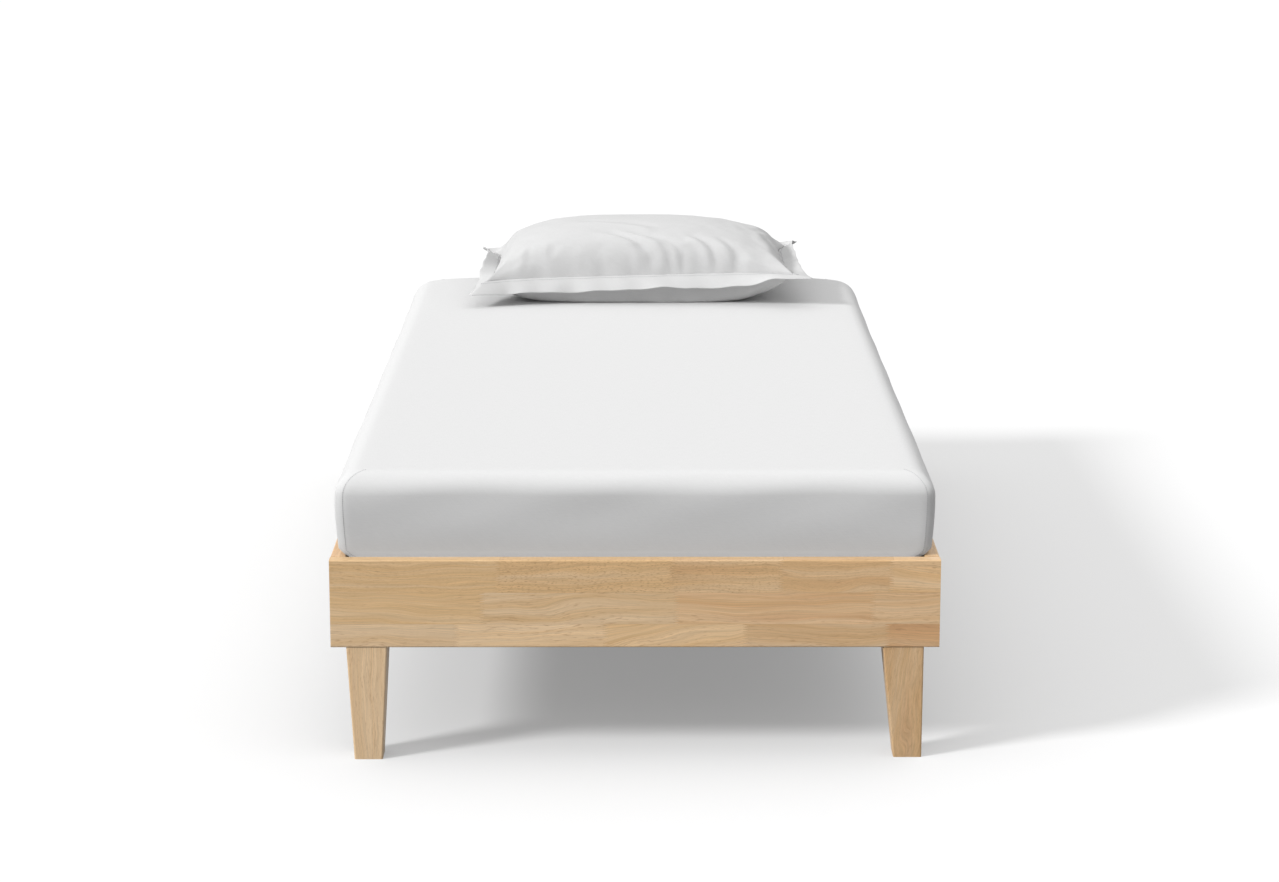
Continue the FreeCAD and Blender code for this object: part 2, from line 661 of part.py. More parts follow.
def rounded_rectangle(body, name, width, depth, corner, level="0", shift="0"):
    """Sketch a rectangle with round corners on a level plane, from the middle of its right side."""
    x, y = f"({width}) / 2", f"({depth}) / 2"
    near_x, near_y = f"{x} - ({corner})", f"{y} - ({corner})"
    spans = [
        (x, "0", None, 0),
        (x, near_y, corner, 1),
        (near_x, y, None, 0),
        (f"-({near_x})", y, corner, 1),
        (f"-({x})", near_y, None, 0),
        (f"-({x})", f"-({near_y})", corner, 1),
        (f"-({near_x})", f"-({y})", None, 0),
        (near_x, f"-({y})", corner, 1),
        (x, f"-({near_y})", None, 0),
    ]
    return closed_profile(body, name, "XY_Plane", spans, ("0", shift, level))


def rim_spans(inset):
    """The outline of the mattress's upper rim, cut across a side rail.

    It spreads over the rail as a lip, swells, and rounds over the shoulder in a tight and then a wide
    arc that leave each other smoothly. inset moves the whole outline inwards, which gives the foam
    inside its sheet.
    """
    side = f"(mattress_width / 2 - {inset})"
    crown = f"(mattress_top - {inset})"
    swell = f"({side} + swell_reach)"
    reach, rise = f"(shoulder_reach - {inset})", f"({crown} - swell_level)"
    tight = f"(shoulder_round - {inset})"
    wide = f"((({reach} - {tight})^2 + {rise}^2 - {tight}^2) / (2 * ({rise} - {tight})))"
    share = f"({tight} / ({wide} - {tight}))"
    meet_x = f"({swell} - {tight} + ({reach} - {tight}) * {share})"
    meet_y = f"(swell_level + ({wide} - {rise}) * {share})"
    return [
        (f"{side} - rim_reach", "lip_level", None, 0),
        (side, "lip_level", None, 0),
        (f"{side} + lip_reach - lip_edge", "lip_level + lip_rise", None, 0),
        (f"{side} + lip_reach", "lip_level + lip_rise + lip_edge", None, 0),
        (swell, "swell_level", tight, 1),
        (meet_x, meet_y, wide, 1),
        (f"{swell} - {reach}", crown, None, 0),
        (f"{side} - rim_reach", crown, None, 0),
    ]


def lower_mattress(body, prefix, inset):
    """Build the mattress's form between the rails, with its bottom edge eased."""
    base = f"mattress_base + {inset}"
    side, along = f"mattress_width - 2 * {inset}", f"mattress_length - 2 * {inset}"
    corner = f"mattress_corner - {inset}"
    outline = rounded_rectangle(body, f"{prefix}_block_sketch", side, along, corner, base)
    block = pad(body, f"{prefix}_block", outline, f"lip_level - ({base})")
    floor_of_block = size(base)

    def on_the_bottom(middle, along):
        """An edge round the underside."""
        return abs(middle.z - floor_of_block) < SAME_PLACE

    ease_edges(body, f"{prefix}_bottom_edge", block, on_the_bottom, "mattress_base_ease")


def upper_mattress(body, prefix, inset):
    """Build the mattress's form over the rails: its two ends, a swept rim and the middle."""
    crown, corner = f"mattress_top - {inset}", f"mattress_corner - {inset}"
    side, ends = f"mattress_width - 2 * {inset}", f"mattress_length - 2 * {inset}"
    outline = rounded_rectangle(body, f"{prefix}_ends_sketch", side, ends, corner, "lip_level")
    pad(body, f"{prefix}_ends", outline, "lip_rise + lip_edge")
    along = f"mattress_length - 2 * lip_reach - 2 * {inset}"
    path = rounded_rectangle(body, f"{prefix}_path", side, along, corner)
    profile = closed_profile(body, f"{prefix}_rim_sketch", "XZ_Plane", rim_spans(inset))
    rim = body.newObject("PartDesign::AdditivePipe", f"{prefix}_rim")
    rim.Profile = profile
    rim.Spine = path
    document.recompute()
    overlap = "(rim_reach - rim_overlap)"
    middle = rounded_rectangle(
        body, f"{prefix}_middle_sketch", f"{side} - 2 * {overlap}", f"{along} - 2 * {overlap}",
        f"{corner} - {overlap}", "lip_level",
    )
    pad(body, f"{prefix}_middle", middle, f"{crown} - lip_level")


def mattress_layers():
    """The two layers of foam under the sheet: a firm core between the rails, a softer one over it."""
    core, comfort = new_body("mattress_core"), new_body("mattress_comfort_layer")
    lower_mattress(core, "core", "sheet_thickness")
    upper_mattress(comfort, "comfort", "sheet_thickness")
    for layer in (core, comfort):
        place(layer, "0", "-mattress_shift", "0")


def fitted_sheet():
    """A skin of cloth over the top and sides of the mattress, turned under all round."""
    outer = document.addObject("PartDesign::Body", "sheet_outer")
    lower_mattress(outer, "sheet_lower", "0")
    upper_mattress(outer, "sheet_upper", "0")
    opening = document.addObject("PartDesign::Body", "sheet_opening")
    outline = rounded_rectangle(
        opening, "opening_sketch", "mattress_width - 2 * hem_width", "mattress_length - 2 * hem_width",
        "mattress_corner", "mattress_base",
    )
    pad(opening, "opening_block", outline, "sheet_thickness")
    for body in (outer, opening):
        place(body, "0", "-mattress_shift", "0")
    inside = document.addObject("Part::MultiFuse", "sheet_inside")
    inside.Shapes = [document.getObject(name) for name in ("mattress_core", "mattress_comfort_layer")]
    inside.Shapes += [opening]
    skin = document.addObject("Part::Cut", "fitted_sheet")
    skin.Base = outer
    skin.Tool = inside
    document.recompute()
    name_subpart(skin, "fitted_sheet")


def hem_elastic():
    """The elastic along the inner edge of the sheet's hem."""
    body = new_body("hem_elastic")
    width, length = "mattress_width - 2 * hem_width", "mattress_length - 2 * hem_width"
    outline = rounded_rectangle(body, "elastic_outer", width, length, "mattress_corner", "mattress_base")
    pad(body, "elastic_band", outline, "sheet_thickness")
    inner = rounded_rectangle(
        body, "elastic_inner", f"{width} - 2 * elastic_width", f"{length} - 2 * elastic_width",
        "mattress_corner - elastic_width", "mattress_base",
    )
    pocket(body, "elastic_opening", inner, "sheet_thickness", reverse=True)
    place(body, "0", "-mattress_shift", "0")


def drawn_in(share):
    """How much of its full depth the pillow has at a share of its half length."""
    return 1 - (1 - PILLOW_END_DEPTH) * share**4


def reach_of_oval(half, rise, facing):
    """How far a plump oval of two half axes reaches in a direction given in degrees."""
    power = PILLOW_ROUNDNESS / (PILLOW_ROUNDNESS - 1)
    across = abs(half * math.cos(math.radians(facing))) ** power
    up = abs(rise * math.sin(math.radians(facing))) ** power
    return (across + up) ** (1 / power)


def pillow_cut(share, grow):
    """The corners of a cut across the pillow at a share of its half length, moved outwards by grow.

    The cut is a polygon drawn round a plump oval over the seam and a flat base under it. Its sides
    face the same ways in every cut, so every facet between two cuts is flat.
    """
    swell = math.sqrt(max(0.0, 1 - abs(share) ** PILLOW_FULLNESS))
    fullness = PILLOW_END_HEIGHT + (1 - PILLOW_END_HEIGHT) * swell
    x = share * (size("pillow_width / 2") + grow)
    half = size("pillow_depth / 2") * drawn_in(share)
    rise = size("pillow_height - pillow_seam") * fullness
    drop = size("pillow_seam - pillow_lift") * fullness
    over = [180 * (facet + 0.5) / PILLOW_FACETS for facet in range(PILLOW_FACETS)]
    sides = [(facing, reach_of_oval(half, rise, facing) + grow) for facing in over]
    sides += [(facing, reach_of_oval(half, drop, facing) + grow) for facing in BASE_FACINGS]
    return [meeting(x, first, second) for first, second in zip(sides, sides[1:] + sides[:1])]


def meeting(x, first, second):
    """Where two sides of a cut meet. Each is (the way it faces in degrees, its distance)."""
    (a, reach_a), (b, reach_b) = first, second
    a, b = math.radians(a), math.radians(b)
    spread = math.sin(b - a)
    y = (reach_a * math.sin(b) - reach_b * math.sin(a)) / spread
    z = (reach_b * math.cos(a) - reach_a * math.cos(b)) / spread
    return Vector(x, y, z)


def facet(corners):
    """A flat face between corners."""
    return Part.Face(Part.makePolygon(corners + corners[:1]))


def flat_loft(cuts):
    """Close the way through cuts of like corners, which are lists of points, with flat facets."""
    facets = [facet(cuts[0]), facet(cuts[-1])]
    for near, far in zip(cuts, cuts[1:]):
        for corner in range(len(near)):
            following = (corner + 1) % len(near)
            facets.append(facet([near[corner], near[following], far[following], far[corner]]))
    shell = Part.makeShell(facets)
    shell.sewShape()
    solid = Part.makeSolid(shell)
    if solid.Volume < 0:
        solid.reverse()
    return solid


def pillow_form(grow):
    """The pillow's body, through cuts that stand closer together towards its ends."""
    shares = [math.sin(math.pi * (cut / (PILLOW_CUTS - 1) - 0.5)) for cut in range(PILLOW_CUTS)]
    return flat_loft([pillow_cut(share, grow) for share in shares])


def border_cut(share, wave):
    """The corners of a cut across the pillowcase's border, a thin strip that hangs at both edges."""
    x = share * size("pillow_width / 2 + flange_width")
    fold = size("pillow_depth / 2") * drawn_in(share)
    edge = fold + size("flange_width")
    droop = size("flange_droop")
    upper = [(-edge, wave - droop), (-fold, wave), (fold, wave), (edge, wave - droop)]
    lower = [(y, z - size("flange_thickness")) for y, z in reversed(upper)]
    return [Vector(x, y, z) for y, z in upper + lower]


def soft_piece(node, shape):
    """Keep a computed soft form as a sub-part, with its seam at the seam's level."""
    piece = document.addObject("Part::Feature", node)
    piece.Shape = shape
    place(piece, "pillow_off_centre", "pillow_place", "mattress_top + pillow_seam")
    name_subpart(piece, node)


def pillow():
    """The filling, and the case round it with its flat border."""
    filling = pillow_form(-size("case_thickness"))
    cover = pillow_form(0)
    last = len(BORDER_WAVE) - 1
    border = flat_loft(
        [border_cut(2 * number / last - 1, wave) for number, wave in enumerate(BORDER_WAVE)]
    )
    soft_piece("pillow_filling", filling)
    soft_piece("pillowcase", cover.fuse(border).cut(filling))


def build():
    """Make every sub-part."""
    fill_sheet()
    for side, end in ((-1, "foot"), (1, "head")):
        end_rail(f"{end}_rail", side)
    for side, hand in ((-1, "left"), (1, "right")):
        side_rail(f"{hand}_side_rail", side)
        slat_ledge(f"{hand}_slat_ledge", side)
    corners = [("foot_left", -1, -1), ("foot_right", 1, -1), ("head_right", 1, 1), ("head_left", -1, 1)]
    for turns, (corner, across, end) in enumerate(corners):
        corner_block(f"corner_block_{corner}", across, end)
        leg(f"leg_{corner}", across, end, 90 * turns)
    hanger_bolts()
    leg_inserts()
    corner_dowels()
    corner_bolts()
    rail_inserts()
    block_screws()
    ledge_screws()
    for number in range(int(size("slat_count"))):
        slat(f"slat_{number + 1:02d}", number)
    for side, hand in ((-1, "left"), (1, "right")):
        slat_strap(f"slat_strap_{hand}", side)
    strap_staples()
    mattress_layers()
    fitted_sheet()
    hem_elastic()
    pillow()
    document.recompute()


def check():
    """Stop if any object failed, or if a sub-part isn't sound."""
    for item in document.Objects:
        if "Invalid" in item.State or "Error" in item.State:
            raise RuntimeError(f"{item.Label} did not recompute: {item.State}")
    for item in subparts:
        if item.Shape.isNull() or not item.Shape.isValid() or not item.Shape.Solids:
            raise RuntimeError(f"{item.Label} is not a sound solid")


def write():
    """Write each sub-part to a file of its own."""
    os.makedirs("parts", exist_ok=True)
    for item in subparts:
        item.Shape.exportStep(os.path.join("parts", f"{item.Label}.step"))
        print(f"{item.Label}: {len(item.Shape.Solids)} solids, {item.Shape.Volume / 1000:.1f} cm3")


build()
check()
write()
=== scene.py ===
"""A low single bed, dressed: jointed wooden rails on raked legs, slats, a mattress in a fitted sheet
and a pillow in a bordered case.

Lengths are in metres, in the part's own frame: the origin is on the floor under the middle of the bed,
+Y points to the head, +X to the right as seen from the foot, +Z up.
"""

import json
import logging
import math
from dataclasses import dataclass, field, replace
from enum import Enum
from typing import Sequence, Union

import bmesh
import bpy
import numpy as np
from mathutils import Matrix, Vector

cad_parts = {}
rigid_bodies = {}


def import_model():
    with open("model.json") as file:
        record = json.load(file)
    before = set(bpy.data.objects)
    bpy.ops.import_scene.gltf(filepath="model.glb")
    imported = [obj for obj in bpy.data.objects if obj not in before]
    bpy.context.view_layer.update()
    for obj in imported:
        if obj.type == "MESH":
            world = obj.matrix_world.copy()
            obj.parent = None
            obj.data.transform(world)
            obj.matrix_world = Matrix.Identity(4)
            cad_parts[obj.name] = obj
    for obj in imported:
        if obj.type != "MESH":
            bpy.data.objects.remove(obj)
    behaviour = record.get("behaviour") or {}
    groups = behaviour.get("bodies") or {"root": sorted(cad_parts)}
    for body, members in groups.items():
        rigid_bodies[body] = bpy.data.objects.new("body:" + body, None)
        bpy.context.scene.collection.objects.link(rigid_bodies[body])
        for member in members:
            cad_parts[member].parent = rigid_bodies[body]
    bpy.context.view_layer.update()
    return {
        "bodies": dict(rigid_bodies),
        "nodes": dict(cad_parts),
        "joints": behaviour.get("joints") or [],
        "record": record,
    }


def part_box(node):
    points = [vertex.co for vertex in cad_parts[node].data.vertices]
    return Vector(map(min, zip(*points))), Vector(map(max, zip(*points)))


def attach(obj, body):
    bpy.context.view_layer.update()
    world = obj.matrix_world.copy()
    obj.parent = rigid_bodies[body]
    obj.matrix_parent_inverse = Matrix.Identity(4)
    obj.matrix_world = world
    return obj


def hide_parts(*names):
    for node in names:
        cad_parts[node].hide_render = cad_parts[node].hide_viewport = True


LOG = logging.getLogger("bed")

Colour = tuple[float, float, float]
Socket = bpy.types.NodeSocket
Value = Union[float, Socket]
Piece = bpy.types.Object
Finish = bpy.types.Material
Faces = Sequence[Sequence[int]]

STEEL_TURN = 7  # the seed that turns each screw its own way


# ------------------------------------------------------------------------------------------------
# building node trees
# ------------------------------------------------------------------------------------------------


class Graph:
    """Adds nodes to a tree and links them, so that a material reads as a few lines of sums."""

    def __init__(self, tree: bpy.types.NodeTree) -> None:
        """Work on one tree.

        Args:
            tree: The shader or geometry tree to add nodes to.
        """
        self.tree = tree

    def node(self, kind: str, *values: Value, **settings: object) -> bpy.types.Node:
        """Add a node.

        Args:
            kind: The node's type name.
            values: What its first inputs are set or linked to, None to leave one alone.
            settings: The node's own properties.

        Returns:
            The new node.
        """
        made = self.tree.nodes.new(kind)
        for name, setting in settings.items():
            setattr(made, name, setting)
        for socket, value in zip(made.inputs, values):
            self.feed(socket, value)
        return made

    def feed(self, socket: Socket, value: Value) -> None:
        """Set or link one input socket.

        Args:
            socket: The input.
            value: A number, a colour, or another node's output.
        """
        if value is None:
            return
        if isinstance(value, bpy.types.NodeSocket):
            self.tree.links.new(value, socket)
            return
        if isinstance(value, tuple) and len(value) == 3 and socket.type == "RGBA":
            value = (*value, 1.0)
        socket.default_value = value

    def math(self, operation: str, *values: Value, clamp: bool = False) -> Socket:
        """Add a Math node and return its result."""
        return self.node("ShaderNodeMath", *values, operation=operation, use_clamp=clamp).outputs[0]

    def vector(self, operation: str, *values: Value) -> Socket:
        """Add a Vector Math node and return its vector."""
        return self.node("ShaderNodeVectorMath", *values, operation=operation).outputs[0]

    def combine(self, x: Value, y: Value, z: Value) -> Socket:
        """Join three numbers into a vector."""
        return self.node("ShaderNodeCombineXYZ", x, y, z).outputs[0]

    def split(self, vector: Socket) -> tuple[Socket, Socket, Socket]:
        """Take a vector apart into three numbers."""
        return tuple(self.node("ShaderNodeSeparateXYZ", vector).outputs)

    def object_place(self) -> tuple[Socket, Socket, Socket]:
        """The shaded point in the part's own frame."""
        return self.split(self.node("ShaderNodeTexCoord").outputs["Object"])

    def noise(self, vector: Socket, scale: float = 1.0, detail: float = 2.0, rough: float = 0.5) -> Socket:
        """Add smooth noise.

        Args:
            vector: Where it is read.
            scale: How many features fit in one unit.
            detail: How many finer layers there are.
            rough: How strong the finer layers are.

        Returns:
            The noise, from 0 to 1 and mostly near a half.
        """
        made = self.node("ShaderNodeTexNoise", vector)
        for name, value in (("Scale", scale), ("Detail", detail), ("Roughness", rough)):
            made.inputs[name].default_value = value
        return made.outputs[0]

    def random(self, value: Socket) -> Socket:
        """Draw a steady random number for each value of a whole number.

        Args:
            value: The whole number.

        Returns:
            The random number, from 0 to 1.
        """
        made = self.node("ShaderNodeTexWhiteNoise", noise_dimensions="1D")
        self.feed(made.inputs["W"], value)
        return made.outputs[0]

    def remap(
        self, value: Value, low: float, high: float, to_low: float = 0.0, to_high: float = 1.0
    ) -> Socket:
        """Stretch a range of a value to another range, held at both ends.

        Args:
            value: What is stretched.
            low: The value that becomes to_low.
            high: The value that becomes to_high.
            to_low: The result at low and beyond.
            to_high: The result at high and beyond.

        Returns:
            The stretched value.
        """
        made = self.node("ShaderNodeMapRange", value, low, high, to_low, to_high)
        made.clamp = True
        return made.outputs[0]

    def mix(self, share: Value, first: Value, second: Value, blend: str = "MIX") -> Socket:
        """Blend two colours.

        Args:
            share: How much of the second there is.
            first: The first colour.
            second: The second colour.
            blend: The name of the way to blend them.

        Returns:
            The blended colour.
        """
        made = self.node("ShaderNodeMix", data_type="RGBA", blend_type=blend)
        self.feed(made.inputs["Factor"], share)
        self.feed(made.inputs[6], first)
        self.feed(made.inputs[7], second)
        return made.outputs[2]

    def bump(self, height: Socket, distance: float, strength: float = 1.0, under: Socket = None) -> Socket:
        """Turn a height into a normal.

        Args:
            height: The height, where 1 stands for distance.
            distance: How high 1 is, in metres.
            strength: How much of the relief shows.
            under: The normal of a coarser relief below this one.

        Returns:
            The normal.
        """
        made = self.node("ShaderNodeBump")
        made.inputs["Strength"].default_value = strength
        made.inputs["Distance"].default_value = distance
        self.feed(made.inputs["Height"], height)
        self.feed(made.inputs["Normal"], under)
        return made.outputs[0]

    def shaded(self, colour: Value, shade: Socket) -> Socket:
        """Multiply a colour by a grey."""
        return self.mix(1.0, colour, self.combine(shade, shade, shade), blend="MULTIPLY")

    def use(self, group: bpy.types.NodeTree, **values: Value) -> bpy.types.Node:
        """Place a node group.

        Args:
            group: The group.
            values: Its inputs by name, with underscores for spaces.

        Returns:
            The group's node.
        """
        made = self.node("ShaderNodeGroup", node_tree=group)
        for name, value in values.items():
            self.feed(made.inputs[name.replace("_", " ")], value)
        return made


def new_group(
    name: str, inputs: Sequence[str], outputs: Sequence[str]
) -> tuple[Graph, dict[str, Socket], bpy.types.Node]:
    """Start a shader node group whose sockets are all numbers.

    Args:
        name: The group's name.
        inputs: Input names.
        outputs: Output names.

    Returns:
        The graph to build in, the group's inputs by name, and its output node.
    """
    tree = bpy.data.node_groups.new(name, "ShaderNodeTree")
    for way, labels in (("INPUT", inputs), ("OUTPUT", outputs)):
        for label in labels:
            tree.interface.new_socket(label, in_out=way, socket_type="NodeSocketFloat")
    graph = Graph(tree)
    entry, ending = graph.node("NodeGroupInput"), graph.node("NodeGroupOutput")
    return graph, {label: entry.outputs[label] for label in inputs}, ending


def new_material(name: str) -> tuple[Finish, Graph, bpy.types.Node]:
    """Start a material with a Principled shader.

    Args:
        name: The material's name.

    Returns:
        The material, the graph to build in, and the shader.
    """
    material = bpy.data.materials.new(name)
    material.use_nodes = True
    graph = Graph(material.node_tree)
    shader = next(node for node in material.node_tree.nodes if node.type == "BSDF_PRINCIPLED")
    return material, graph, shader


# ------------------------------------------------------------------------------------------------
# shared effects
# ------------------------------------------------------------------------------------------------


@dataclass(frozen=True)
class FingerJoint:
    """The zigzag joint between two staves of a board."""

    pitch: float = 0.0038
    length: float = 0.010
    glue_line: float = 0.00035

    def zigzag(self, graph: Graph, along: Socket, up: Socket) -> Socket:
        """Bend the coordinate along a board so that a straight cut turns into fingers.

        Args:
            graph: The graph to build in.
            along: The coordinate along the staves.
            up: The coordinate across them.

        Returns:
            The bent coordinate.
        """
        tooth = graph.math("PINGPONG", up, self.pitch / 2)
        share = graph.math("MULTIPLY_ADD", tooth, 2 * self.length / self.pitch, -self.length / 2)
        return graph.math("ADD", along, share)


STAVE_OUTPUTS = ("Stave", "Glue", "Pale", "Red", "Slant", "Coarse")


@dataclass(frozen=True)
class Stave:
    """One stave of a board: where it begins, and how pale, red, slanted and coarse in its pores it is."""

    begins: float
    pale: float
    red: float
    slant: float
    coarse: float = 0.1


def stave_group(name: str, levels: Sequence[float], rows: Sequence[Sequence[Stave]]) -> bpy.types.NodeTree:
    """Make the group that tells the staves of a board apart, for a board whose joints are known.

    Args:
        name: The group's name.
        levels: The heights of the glue lines between the rows, from the bottom up.
        rows: For each row from the bottom up, its staves along the board.

    Returns:
        The group: Along and Up in; Stave (a number for each stave), Glue (a mask), and the stave's own
        Pale, Red, Slant and Coarse out.
    """
    graph, given, ending = new_group(name, ("Along", "Up"), STAVE_OUTPUTS)
    finger = FingerJoint()
    bent = finger.zigzag(graph, given["Along"], given["Up"])
    row: Socket = graph.math("MULTIPLY", given["Up"], 0.0)
    glue: Socket = row
    for level in levels:
        row = graph.math("ADD", row, graph.math("GREATER_THAN", given["Up"], level))
        seam = graph.math("MULTIPLY", graph.math("COMPARE", given["Up"], level, finger.glue_line), 0.5)
        glue = graph.math("MAXIMUM", glue, seam)
    stave: Socket = graph.math("MULTIPLY", row, 10.0)
    looks: dict[str, Socket] = {label: graph.math("MULTIPLY", row, 0.0) for label in STAVE_OUTPUTS[2:]}
    for number, staves in enumerate(rows):
        here = graph.math("COMPARE", row, float(number), 0.5)
        before = Stave(-9.0, 0.0, 0.0, 0.0, 0.0)
        for one in staves:
            passed = graph.math("MULTIPLY", graph.math("GREATER_THAN", bent, one.begins), here)
            stave = graph.math("ADD", passed, stave)
            line = graph.math("COMPARE", bent, one.begins, finger.glue_line)
            glue = graph.math("MAXIMUM", glue, graph.math("MULTIPLY", line, here))
            for label in looks:
                change = getattr(one, label.lower()) - getattr(before, label.lower())
                looks[label] = graph.math("MULTIPLY_ADD", passed, change, looks[label])
            before = one
    for label, value in {"Stave": stave, "Glue": glue, **looks}.items():
        graph.feed(ending.inputs[label], value)
    return graph.tree


def long_stave_group() -> bpy.types.NodeTree:
    """Make the group that tells the staves of a board apart by rule, for boards that are mostly hidden.

    Returns:
        The group: Along, Up, Row Height, Stave Length and Seed in; the same out as for known joints.
    """
    graph, given, ending = new_group(
        "staves_by_rule", ("Along", "Up", "Row Height", "Stave Length", "Seed"), STAVE_OUTPUTS
    )
    finger = FingerJoint()
    bent = finger.zigzag(graph, given["Along"], given["Up"])
    in_rows = graph.math("DIVIDE", given["Up"], given["Row Height"])
    row = graph.math("FLOOR", in_rows)
    shift = graph.random(graph.math("MULTIPLY_ADD", row, 17.0, given["Seed"]))
    place = graph.math("ADD", graph.math("DIVIDE", bent, given["Stave Length"]), shift)
    cell = graph.math("FLOOR", place)
    inside = graph.math("FRACT", place)
    cell_seed = graph.math("ADD", graph.math("MULTIPLY_ADD", row, 31.0, cell), given["Seed"])
    cut = graph.remap(graph.random(cell_seed), 0.0, 1.0, 0.2, 0.8)
    stave = graph.math("ADD", cell, graph.math("GREATER_THAN", inside, cut))
    tag = graph.math("ADD", graph.math("MULTIPLY_ADD", row, 31.0, stave), given["Seed"])
    width = graph.math("DIVIDE", finger.glue_line, given["Stave Length"])
    line = graph.math("LESS_THAN", graph.math("ABSOLUTE", graph.math("SUBTRACT", inside, cut)), width)
    to_row = graph.math("ABSOLUTE", graph.math("SUBTRACT", in_rows, graph.math("ROUND", in_rows)))
    seam = graph.math("LESS_THAN", graph.math("MULTIPLY", to_row, given["Row Height"]), finger.glue_line)
    chances = [graph.random(graph.math("ADD", tag, step)) for step in (0.13, 0.29, 0.57, 0.83)]
    graph.feed(ending.inputs["Stave"], tag)
    graph.feed(ending.inputs["Glue"], graph.math("MAXIMUM", line, seam))
    graph.feed(ending.inputs["Pale"], graph.remap(chances[0], 0.0, 1.0, 0.0, 0.8))
    graph.feed(ending.inputs["Red"], graph.remap(chances[1], 0.45, 1.0, 0.0, 0.55))
    graph.feed(ending.inputs["Slant"], graph.remap(chances[2], 0.0, 1.0, -0.07, 0.07))
    graph.feed(ending.inputs["Coarse"], graph.remap(chances[3], 0.5, 1.0, 0.1, 0.8))
    return graph.tree


def grain_group() -> bpy.types.NodeTree:
    """Make the group that grows wood: growth bands, fibres, pores and warm streaks.

    Returns:
        The group: Along, Across, Through, Stave, Slant and Coarse in; Tone, Band, Fibre, Pore, Streak and
        Height out.
    """
    graph, given, ending = new_group(
        "wood_grain", ("Along", "Across", "Through", "Stave", "Slant", "Coarse"),
        ("Tone", "Band", "Fibre", "Pore", "Streak", "Height"),
    )
    tone = graph.random(given["Stave"])
    shift = graph.math("MULTIPLY", graph.random(graph.math("ADD", given["Stave"], 0.71)), 9.0)
    along = graph.math("ADD", given["Along"], shift)
    across = graph.math("ADD", given["Across"], graph.math("MULTIPLY", given["Along"], given["Slant"]))
    through = graph.math("ADD", given["Through"], shift)
    slow = graph.combine(
        graph.math("MULTIPLY", along, 5.0), graph.math("MULTIPLY", across, 16.0),
        graph.math("MULTIPLY", through, 16.0),
    )
    wander = graph.math("SUBTRACT", graph.noise(slow, detail=2.0), 0.5)
    bent = graph.math("MULTIPLY_ADD", wander, 0.045, across)

    def stretched(length: float, width: float, sideways: Socket = bent) -> Socket:
        """Find the place in a pattern that is drawn out along the grain.

        Args:
            length: How long its features are.
            width: How wide they are.
            sideways: The coordinate across the grain.

        Returns:
            The place.
        """
        return graph.combine(
            graph.math("DIVIDE", along, length), graph.math("DIVIDE", sideways, width),
            graph.math("DIVIDE", through, width),
        )

    band = graph.remap(graph.noise(stretched(0.60, 0.014), detail=3.0, rough=0.55), 0.32, 0.68)
    fibre = graph.remap(graph.noise(stretched(0.11, 0.0016), detail=3.0, rough=0.6), 0.30, 0.70)
    dashes = graph.noise(stretched(0.014, 0.0011), detail=1.0, rough=0.4)
    where = graph.remap(graph.noise(stretched(0.25, 0.030), detail=1.0), 0.38, 0.62, 0.12, 1.0)
    pore = graph.math("MULTIPLY", graph.remap(dashes, 0.60, 0.74), where)
    straight = stretched(0.0052, 0.0012, across)
    thick = graph.remap(graph.noise(straight, detail=1.0, rough=0.4), 0.57, 0.70)
    pore = graph.math("MAXIMUM", pore, graph.math("MULTIPLY", thick, given["Coarse"]))
    streak = graph.remap(graph.noise(stretched(0.55, 0.030), detail=2.0, rough=0.6), 0.55, 0.80)
    height = graph.math("MULTIPLY_ADD", pore, -1.0, graph.math("MULTIPLY", fibre, 0.35))
    for socket, value in zip(ending.inputs, (tone, band, fibre, pore, streak, height)):
        graph.feed(socket, value)
    return graph.tree


def weave_group() -> bpy.types.NodeTree:
    """Make the group that weaves cloth: threads both ways, uneven as cotton is.

    Returns:
        The group: Across, Along and Thread in; Height and Shade out.
    """
    graph, given, ending = new_group("plain_weave", ("Across", "Along", "Thread"), ("Height", "Shade"))
    crossing = [graph.math("DIVIDE", given[label], given["Thread"]) for label in ("Across", "Along")]
    flat = graph.combine(crossing[0], crossing[1], 0.0)
    wefts = graph.vector("MULTIPLY", flat, (0.035, 0.55, 0.0))
    warps = graph.vector("MULTIPLY", flat, (0.55, 0.035, 0.0))
    slubs = [graph.noise(way, detail=2.0, rough=0.6) for way in (wefts, warps)]
    uneven = graph.math("ADD", slubs[0], slubs[1])
    threads = [
        graph.math("SINE", graph.math("MULTIPLY", place, math.tau)) for place in crossing
    ]
    over = graph.math("MULTIPLY", threads[0], threads[1])
    height = graph.math("MULTIPLY_ADD", over, 0.25, uneven)
    graph.feed(ending.inputs["Height"], height)
    graph.feed(ending.inputs["Shade"], graph.remap(uneven, 0.75, 1.25))
    return graph.tree


@dataclass(frozen=True)
class Effects:
    """The shader groups that several finishes share."""

    foot_staves: bpy.types.NodeTree
    long_staves: bpy.types.NodeTree
    grain: bpy.types.NodeTree
    weave: bpy.types.NodeTree


# ------------------------------------------------------------------------------------------------
# finishes
# ------------------------------------------------------------------------------------------------


class Run(Enum):
    """Which way the grain of a piece runs: the axes along it, across it and through it."""

    ACROSS_BED = (0, 2, 1)
    ALONG_BED = (1, 2, 0)
    UPRIGHT = (2, 0, 1)


class Jointing(Enum):
    """How a piece of wood is glued up."""

    KNOWN_STAVES = "the foot rail, whose joints are seen"
    RULED_STAVES = "a board of staves laid by rule"
    SOLID = "one piece of timber"


